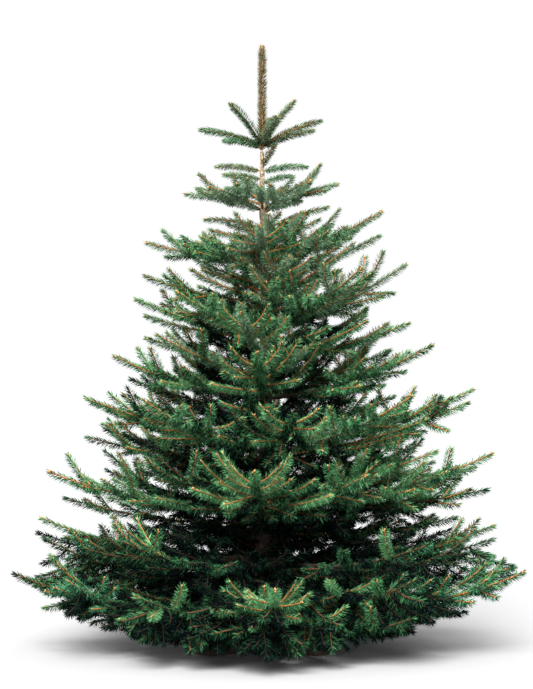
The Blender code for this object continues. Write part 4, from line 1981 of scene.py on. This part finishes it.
class Plaits:
    """Triangles of many small things, gathered for one joined mesh."""

    def __init__(self) -> None:
        """Start empty."""
        self.points: list[np.ndarray] = []
        self.faces: list[np.ndarray] = []
        self.worn: list[np.ndarray] = []
        self.count = 0

    def add(self, points: np.ndarray, faces: np.ndarray, finish: int | np.ndarray) -> None:
        """Add small things.

        Args:
            points: Their corners.
            faces: Their triangles, as rows of corner numbers.
            finish: The number of the finish that all wear, or one number for each triangle.
        """
        self.points.append(points.reshape(-1, 3))
        self.faces.append(faces + self.count)
        self.worn.append(np.full(len(faces), finish, np.int32))
        self.count += len(self.points[-1])

    def piece(self, name: str, finishes: Sequence[bpy.types.Material], smooth: bool) -> Piece:
        """Make the joined mesh.

        Args:
            name: The piece's name.
            finishes: Its materials; those that nothing wears are left out.
            smooth: Whether it is shaded smooth.

        Returns:
            The piece.
        """
        points = np.concatenate(self.points).astype(np.float32)
        faces = np.concatenate(self.faces).astype(np.int32)
        used, worn = np.unique(np.concatenate(self.worn), return_inverse=True)
        mesh = bpy.data.meshes.new(name)
        mesh.vertices.add(len(points))
        mesh.vertices.foreach_set("co", points.ravel())
        mesh.loops.add(faces.size)
        mesh.loops.foreach_set("vertex_index", faces.ravel())
        mesh.polygons.add(len(faces))
        mesh.polygons.foreach_set("loop_start", np.arange(0, faces.size, 3, dtype=np.int32))
        mesh.polygons.foreach_set("material_index", worn.astype(np.int32).ravel())
        mesh.polygons.foreach_set("use_smooth", np.full(len(faces), smooth))
        for index in used:
            mesh.materials.append(finishes[index])
        mesh.update(calc_edges=True)
        mesh.validate()
        piece = bpy.data.objects.new(name, mesh)
        bpy.context.scene.collection.objects.link(piece)
        return piece


def tube(
    arc: Arc, shares: np.ndarray, radii: np.ndarray, sides: int
) -> tuple[np.ndarray, np.ndarray]:
    """A closed tube along an arc.

    Args:
        arc: Its centre line.
        shares: Where its rings are.
        radii: The radius of each ring.
        sides: Corners of a ring.

    Returns:
        Its corners, and its triangles as rows of corner numbers.
    """
    _, side, top = arc.frames(shares)
    turns = (2 * np.pi * np.arange(sides) / sides)[None, :, None]
    ring = side[:, None, :] * np.sin(turns) + top[:, None, :] * np.cos(turns)
    points = arc.points(shares)[:, None, :] + ring * radii[:, None, None]
    faces = []
    for row in range(len(shares) - 1):
        for k in range(sides):
            a, b = row * sides + k, row * sides + (k + 1) % sides
            faces += [(a, b, b + sides), (a, b + sides, a + sides)]
    last = (len(shares) - 1) * sides
    for k in range(1, sides - 1):
        faces += [(0, k + 1, k), (last, last + k, last + k + 1)]
    return points.reshape(-1, 3), np.array(faces)


# The bud at a twig's very tip and those round it: how far each leans, starts back and stands
# aside, and its size.
LEAD_BUD = (0.0, 0.0015, 0.0, 1.0)
SIDE_BUD = (0.75, 0.004, 0.0015, 0.8)


@dataclass
class Foliage:
    """The crown's needles, twigs and buds, each kind joined, with colours dealt out by spray."""

    crown: Crown
    needles: Needles = field(default_factory=Needles)
    bud_length: float = 0.0092
    bud_radius: float = 0.0029
    budded_from: float = 0.6
    top_from: float = 1.05
    neck_from: float = 1.25
    # Below these heights sprays are painted in shade, as on the undersides: lower at the rim, from
    # this share of the reach outwards.
    underside: float = 0.142
    rim_underside: float = 0.108
    rim_from: float = 0.84
    shades: tuple[Shade, ...] = tuple(Shade)
    rinds: tuple[Rind, ...] = tuple(Rind)

    def build(self) -> None:
        """Make all the pieces and hand them over."""
        chance = random.Random(SEED * 2000)
        for limb in self.crown.limbs:
            sprays = self._sprays_for(limb)
            limb.spray = sprays[0] if len(sprays) == 1 else chance.choice(sprays)
        self._build_needles()
        self._build_twigs()
        self._build_buds()

    def _sprays_for(self, limb: Limb) -> tuple[Spray, ...]:
        """The needle colours that a limb's are drawn from, by where it grows, with painted shade in
        the heart, underneath and on the fringe, and painted light on sprays that face the front.

        Args:
            limb: The limb.

        Returns:
            The colours, with those that come up more often named more than once.
        """
        spot, outer = limb.arc.point(0.6), self._outer(limb, 0.6)
        facing = -spot.y / max(0.01, math.hypot(spot.x, spot.y))
        if limb.part is Part.LEADER:
            return (Spray.LEADER,)
        if limb.part is Part.RING:
            return (Spray.RING, Spray.RING, Spray.HIGH)
        if spot.z > self.neck_from or spot.z > self.top_from and limb.part is Part.STEM:
            return (Spray.NECK, Spray.NECK, Spray.HIGH)
        if spot.z > self.top_from:
            return (Spray.HIGH, Spray.HIGH, Spray.BRIGHT, Spray.MIDDLE)
        if limb.part is Part.INNER and limb.tier > 4:
            return (Spray.MIDDLE, Spray.MIDDLE, Spray.SHADED)
        # Painted shade: sprays near the trunk are painted dark, and a little further out painted
        # shaded.
        dark_to, shaded_to = DARK_TO[limb.tier]
        if outer < dark_to:
            return (Spray.DARK,)
        if outer < shaded_to:
            to_rim = limb.part is Part.FILLER and limb.tier > 2 and self._outer(limb, 1) > 0.68
            return (Spray.MIDDLE,) * 3 if to_rim else (Spray.SHADED, Spray.DARK, Spray.SHADED)
        # Painted shade: the skirt's hanging twigs and fringe are painted dark.
        if limb.tier == 0 and limb.part in (Part.HANGING, Part.FRINGE):
            return (Spray.SHADED, Spray.DARK, Spray.DARK)
        # Painted shade: low sprays and hanging twigs are painted shaded, as on the tiers'
        # undersides.
        underside = self.underside if outer < self.rim_from else self.rim_underside
        if spot.z < underside or limb.part is Part.HANGING:
            return (Spray.SHADED, Spray.DARK, Spray.SHADED)
        # Painted shade: the front of the second tier is painted dark where it hangs into the gap
        # above the skirt.
        if limb.tier == 1 and facing > 0.5 and spot.z < 0.31:
            return (Spray.SHADED, Spray.DARK, Spray.DARK)
        # Painted light: the skirt's sprays that face the front wear the fresher, lighter green, the
        # others teal.
        if limb.tier == 0:
            usual = Spray.FRESH if facing > 0.78 else Spray.TEAL
            return (usual, usual, Spray.MIDDLE)
        # Painted light: far-out sprays that face the front get the brightest greens.
        if facing > 0.75 and outer > 0.72:
            return (Spray.BRIGHT, Spray.FRESH, Spray.MIDDLE)
        if spot.z > 0.85:
            return (Spray.HIGH, Spray.BRIGHT, Spray.BRIGHT, Spray.FRESH, Spray.MIDDLE)
        # Painted shade: sprays short of the rim may get the shaded colours.
        last = Spray.SHADED if outer < 0.8 else Spray.MIDDLE
        return (Spray.BRIGHT, Spray.MIDDLE, Spray.MIDDLE, Spray.FRESH, last)

    def _outer(self, limb: Limb, share: float) -> float:
        """How far out in its tier a point of a limb is.

        Args:
            limb: The limb.
            share: Where on it the point is.

        Returns:
            The point's share of the tier's reach; 1 at the tree's top.
        """
        spot = limb.arc.point(share)
        if spot.z > self.top_from or limb.tier >= len(TIERS):
            return 1.0
        return math.hypot(spot.x, spot.y) / TIERS[limb.tier].reach

    def _build_needles(self) -> None:
        """One or two pieces of needles for each tier, and one for the top."""
        materials = [shade.value.material() for shade in self.shades]
        groups: dict[tuple[int, int], list[Limb]] = {}
        for limb in self.crown.limbs:
            groups.setdefault((limb.tier, limb.sector), []).append(limb)
        one_needle = np.array([(0, 1, 2), (0, 2, 3)])
        for (tier, sector), members in sorted(groups.items()):
            name = TIERS[tier].name if tier < len(TIERS) else "leader"
            if (tier, 1) in groups:
                name += ("_front", "_back")[sector]
            chance = np.random.default_rng(SEED * 1000 + tier * 2 + sector)
            gathered = Plaits()
            for limb in members:
                corners, worn = self.needles.on(limb, chance)
                first = np.arange(len(corners))[:, None, None] * 4
                trio = np.array([self.shades.index(shade) for shade in limb.spray.value])
                faces = (first + one_needle).reshape(-1, 3)
                gathered.add(corners, faces, np.repeat(trio[worn], 2))
            piece = gathered.piece(f"needles_{name}", materials, smooth=False)
            hand_over(piece, "needles", sorted({limb.node_of for limb in members} - {""}))

    def _build_twigs(self) -> None:
        """The twigs, in one piece."""
        gathered = Plaits()
        for limb in self.crown.limbs:
            slim = limb.order > 1
            shares = np.linspace(0, 1, 3 if slim else 6)
            if limb.part is Part.STEM:
                shares = np.linspace(0.7, 1, 4)
            radii = limb.root_radius + (limb.tip_radius - limb.root_radius) * shares
            points, faces = tube(limb.arc, shares, radii, 3 if slim else 5)
            gathered.add(points, faces, self.rinds.index(self._rind(limb)))
        materials = [rind.value.material() for rind in self.rinds]
        hand_over(gathered.piece("twigs", materials, smooth=True), "bark", [])

    @staticmethod
    def _rind(limb: Limb) -> Rind:
        """The twig colour of one limb: an older, darker rind, as painted shade, where its needles
        are painted in shade or it hangs.

        Args:
            limb: The limb.

        Returns:
            The colour.
        """
        if limb.spray is Spray.DARK:
            return Rind.OLD
        shaded = limb.spray is Spray.SHADED or limb.part in (Part.HANGING, Part.FRINGE)
        return Rind.OLDER if shaded else Rind.YOUNG

    def _build_buds(self) -> None:
        """The buds at the tips, in one piece: one that leads, and smaller ones round it."""
        gathered = Plaits()
        chance = random.Random(SEED * 5)
        for limb in self.crown.limbs:
            # No buds on sprays painted in shade.
            shaded = limb.spray in (Spray.DARK, Spray.SHADED)
            if shaded or self._outer(limb, 1) < self.budded_from:
                continue
            heading = limb.arc.heading(1)
            side, top = axes_of(heading)
            large = 1.25 if limb.part in (Part.LEADER, Part.STEM) else 1.0
            for k in range(limb.buds):
                turn = 2 * math.pi * k / max(1, limb.buds - 1) + chance.uniform(0, 6)
                aside = side * math.cos(turn) + top * math.sin(turn)
                spread, back, apart, size = SIDE_BUD if k else LEAD_BUD
                toward = (heading + aside * spread).normalized()
                start = limb.arc.point(1) - heading * back + aside * apart
                arc = Arc(start, toward, toward, self.bud_length * large * size)
                radii = self.bud_radius * large * np.array([0.55, 1.0, 0.12])
                points, faces = tube(arc, np.array([0.0, 0.42, 1.0]), radii, 4)
                gathered.add(points, faces, 0)
        hand_over(gathered.piece("buds", [BUD_FINISH.material()], smooth=True), "bark", [])


# ---- boughs


@dataclass
class Boughs:
    """The tiers' boughs with their bark, from the trunk to where they are twigs."""

    crown: Crown
    sides: int = 8
    steps: int = 9
    end: float = 0.74
    collar: float = 1.35
    sunk: float = 0.0015
    relief: Relief = Relief("CLOUDS", 0.012, 0.0011)
    finish: BarkFinish = BarkFinish(
        "bough_bark",
        scale_colour=(0.105, 0.060, 0.036),
        seam_colour=(0.032, 0.020, 0.014),
        young_colour=(0.20, 0.105, 0.055),
        scales_per_metre=260,
        young_from=0.75,
        young_to=1.25,
        bump=0.7,
    )

    def build(self) -> None:
        """Model every bough, join them and give them their bark."""
        stems = [limb for limb in self.crown.limbs if limb.part is Part.STEM]
        piece = Bench.join("boughs", [self._bough(limb) for limb in stems])
        Bench.roughen(piece, 1, [self.relief])
        Bench.dress(piece, self.finish.material())
        bare = [tier for tier in TIERS if tier.bare]
        nodes = [f"bough_{tier.name}_{k + 1}" for tier in bare for k in range(tier.boughs)]
        hand_over(piece, "bark", nodes)

    def _bough(self, limb: Limb) -> Piece:
        """One bough: a disc at the bark, drawn out along its line and thinned.

        Args:
            limb: The limb that it covers.

        Returns:
            The piece.
        """
        shares = [self.end * k / self.steps for k in range(self.steps + 1)]
        slim = (limb.tip_radius - limb.root_radius) / limb.root_radius
        thickness = [limb.root_radius * (1 + slim * share) for share in shares]
        thickness[0] *= self.collar
        Bench.clear()
        bpy.ops.mesh.primitive_circle_add(
            vertices=self.sides,
            radius=thickness[0],
            fill_type="NGON",
            location=limb.arc.point(0) - limb.arc.heading(0) * self.sunk,
            rotation=limb.arc.heading(self.end / 2).to_track_quat("Z", "Y").to_euler(),
        )
        piece = Bench.start()
        points = [limb.arc.point(share) for share in shares]
        scales = [(thin / thick,) * 3 for thick, thin in pairwise(thickness)]
        moves = [high - low for low, high in pairwise(points)]
        Bench.draw_out(zip(moves, scales))
        Bench.face_out()
        return piece


# ---- stand


@dataclass
class Stand:
    """Two boards halved together, four braces against the trunk, and the screws that hold them."""

    trunk: Trunk
    length: float = 0.50
    width: float = 0.070
    thick: float = 0.028
    chamfer: float = 0.003
    brace_height: float = 0.078
    brace_length: float = 0.110
    brace_thick: float = 0.022
    brace_toe: float = 0.016
    eased: float = 0.0012
    turn_deg: float = 45
    screw_radius: float = 0.0042
    screw_height: float = 0.0016
    screw_step: float = 0.0012
    screw_proud: float = 0.0005
    screw_sunk: float = 0.0002
    screw_places: tuple[tuple[float, float], ...] = ((0.075, 0.021), (0.115, -0.021), (0.20, 0.0))

    def build(self) -> None:
        """Model the boards, braces and screws."""
        half = self.thick / 2
        self._board("stand_board_lower", self.turn_deg, half - GAP / 2, self.thick)
        self._board("stand_board_upper", self.turn_deg + 90, 0.0, half + GAP / 2)
        for k in range(4):
            self._brace(f"stand_brace_{k + 1}", self.turn_deg + 90 * k)
        self._screws()

    def _board(self, node: str, turn_deg: float, notch_from: float, notch_to: float) -> None:
        """One board with eased edges and the notch where the other passes.

        Args:
            node: The CAD node that it replaces.
            turn_deg: The board's direction.
            notch_from: Height of the notch's lower end.
            notch_to: Height of its upper end.
        """
        size = (self.length, self.width, self.thick)
        turn = math.radians(turn_deg)
        piece = Bench.block(node + "_wood", size, UP * (self.thick / 2), turn)
        bpy.ops.mesh.bevel(offset=self.chamfer, segments=2, affect="EDGES")
        toward = outward(turn, 0)
        wide = self.width / 2 + GAP
        for side in (-1, 1):
            bpy.ops.mesh.select_all(action="SELECT")
            bpy.ops.mesh.bisect(plane_co=toward * (side * wide), plane_no=toward)
        face_up = 1 if notch_to >= self.thick else -1

        def in_notch(centre: Vector, normal: Vector) -> bool:
            """Whether a face is the skin that the notch sinks."""
            rise = (centre.z - self.thick / 2) * face_up
            return abs(centre.dot(toward)) < wide and rise > 0.001 and normal.z * face_up > 0.1

        Bench.choose_faces(piece, in_notch)
        bpy.ops.transform.translate(value=(0, 0, -face_up * (notch_to - notch_from)))
        self._finish(piece, node, turn_deg)

    def _brace(self, node: str, azimuth_deg: float) -> None:
        """One triangular brace: a block whose top is drawn down to a toe.

        Args:
            node: The CAD node that it replaces.
            azimuth_deg: The side of the trunk that it stands on.
        """
        azimuth = math.radians(azimuth_deg)
        toward = outward(azimuth, 0)
        lean = self.trunk.centre(self.trunk.foot + self.brace_height).x * math.cos(azimuth)
        asides = [self.brace_thick * (k / 8 - 0.5) for k in range(9)]
        inner = max(self.trunk.front(self.trunk.foot, azimuth, aside) for aside in asides)
        inner += max(0.0, lean) + GAP
        middle = self.thick + GAP + self.brace_height / 2
        size = (self.brace_length, self.brace_thick, self.brace_height)
        centre = toward * (inner + self.brace_length / 2) + UP * middle
        piece = Bench.block(node + "_wood", size, centre, azimuth)
        bpy.ops.mesh.bisect(plane_co=toward * (inner + self.brace_toe), plane_no=toward)
        bpy.ops.mesh.select_mode(type="VERT")
        bpy.ops.mesh.select_all(action="DESELECT")
        shape = bmesh.from_edit_mesh(piece.data)
        for vert in shape.verts:
            far = vert.co.dot(toward) > inner + self.brace_length - 0.001
            vert.select_set(far and vert.co.z > middle)
        bmesh.update_edit_mesh(piece.data)
        bpy.ops.transform.translate(value=(0, 0, self.brace_toe - self.brace_height))
        Bench.clear()
        ease = piece.modifiers.new("ease", "BEVEL")
        ease.width = self.eased
        ease.segments = 2
        ease.angle_limit = math.radians(20)
        Bench.apply_all(piece)
        self._finish(piece, node, azimuth_deg)

    @staticmethod
    def _finish(piece: Piece, node: str, turn_deg: float) -> None:
        """Give a piece its wood and hand it over.

        Args:
            piece: The board or brace.
            node: The CAD node that it replaces.
            turn_deg: The direction of its grain.
        """
        Bench.clear()
        Bench.dress(piece, WoodFinish(node + "_grain", turn_deg).material(), sharp_deg=28)
        hand_over(piece, "sawn_wood", [node])

    def _screws(self) -> None:
        """Countersunk screw heads: two through each arm by its brace, and one at the toe."""
        Bench.clear()
        bpy.ops.mesh.primitive_cylinder_add(
            vertices=16, radius=self.screw_radius, depth=self.screw_height
        )
        head = Bench.start()
        Bench.choose_faces(head, lambda centre, normal: normal.z > 0.9)
        bpy.ops.mesh.inset(thickness=self.screw_step)
        bpy.ops.transform.translate(value=(0, 0, self.screw_proud))
        bpy.ops.mesh.inset(thickness=self.screw_step)
        drive = (0, 0, -self.screw_step)
        bpy.ops.mesh.extrude_region_move(TRANSFORM_OT_translate={"value": drive})
        Bench.clear()
        heads = []
        for k in range(4):
            toward = outward(math.radians(self.turn_deg + 90 * k), 0)
            across = toward.cross(UP)
            for along, aside in self.screw_places:
                copy = bpy.data.objects.new("screw", head.data.copy())
                bpy.context.scene.collection.objects.link(copy)
                rise = self.thick - self.screw_sunk
                copy.location = toward * along + across * aside + UP * rise
                heads.append(copy)
        bpy.data.objects.remove(head)
        piece = Bench.join("stand_screws", heads)
        Bench.settle(piece)
        Bench.dress(piece, ZincFinish().material(), sharp_deg=30)
        hand_over(piece, "", [])


# ---- studio


@dataclass
class Studio:
    """The plain pale floor, soft light and camera."""

    camera_place: Triple = (0.0135, -8.0, 0.95)
    camera_aim: Triple = (0.0135, 0, 0.909)
    lens: float = 139.7
    floor_size: float = 120
    floor_seen: Colour = (0.43, 0.43, 0.43)
    floor_given: Colour = (0.12, 0.12, 0.12)
    sky_low: float = 0.44
    sky_high: float = 1.05
    backdrop: float = 1.02
    sun_place: Triple = (-0.12, -0.79, 0.60)
    sun_strength: float = 8.3
    sun_angle: float = math.radians(38)

    def build(self) -> None:
        """Set up everything round the tree."""
        self._floor()
        self._light()
        self._camera()
        scene = bpy.context.scene
        scene.view_settings.view_transform = "Standard"
        scene.view_settings.look = "None"
        scene.cycles.denoising_prefilter = "NONE"

    def _floor(self) -> None:
        """A wide pale floor."""
        Bench.clear()
        bpy.ops.mesh.primitive_plane_add(size=self.floor_size)
        floor = bpy.context.object
        floor.name = "studio_floor"
        recipe = Recipe.of_material("floor_paper")
        seen = recipe.node("ShaderNodeLightPath", output="Is Camera Ray")
        colour = recipe.mix(seen, self.floor_given, self.floor_seen)
        floor.data.materials.append(recipe.dress({"Base Color": colour, "Roughness": 0.95}))

    def _light(self) -> None:
        """A pale sky all round, and one wide light above and in front."""
        world = bpy.data.worlds.new("studio_sky")
        bpy.context.scene.world = world
        recipe = Recipe(world)
        seen = recipe.node("ShaderNodeLightPath", output="Is Camera Ray")
        toward = recipe.node("ShaderNodeTexCoord", output="Generated")
        height = recipe.node("ShaderNodeSeparateXYZ", {}, {0: toward}, output=2)
        upward = recipe.ramp(height, -0.2, 0.9)
        strength = self.sky_low + upward * (self.sky_high - self.sky_low)
        recipe.dress({"Color": (1, 1, 1), "Strength": strength * (1 - seen) + seen * self.backdrop})
        light = bpy.data.lights.new("soft_sun", "SUN")
        light.energy = self.sun_strength
        light.angle = self.sun_angle
        lamp = bpy.data.objects.new("soft_sun", light)
        lamp.rotation_euler = Vector(self.sun_place).to_track_quat("Z", "Y").to_euler()
        bpy.context.scene.collection.objects.link(lamp)

    def _camera(self) -> None:
        """The camera, level with the tree's middle."""
        data = bpy.data.cameras.new("camera")
        data.lens = self.lens
        data.sensor_width = 36
        camera = bpy.data.objects.new("camera", data)
        camera.location = self.camera_place
        aim = Vector(self.camera_aim) - Vector(self.camera_place)
        camera.rotation_euler = aim.to_track_quat("-Z", "Y").to_euler()
        bpy.context.scene.collection.objects.link(camera)
        bpy.context.scene.camera = camera


def main() -> None:
    """Build the tree, its stand and the studio."""
    trunk = Trunk()
    trunk.build()
    crown = Crown(Rule(trunk))
    crown.grow()
    Boughs(crown).build()
    Foliage(crown).build()
    Stand(trunk).build()
    Studio().build()
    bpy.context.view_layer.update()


if __name__ == "__main__":
    main()
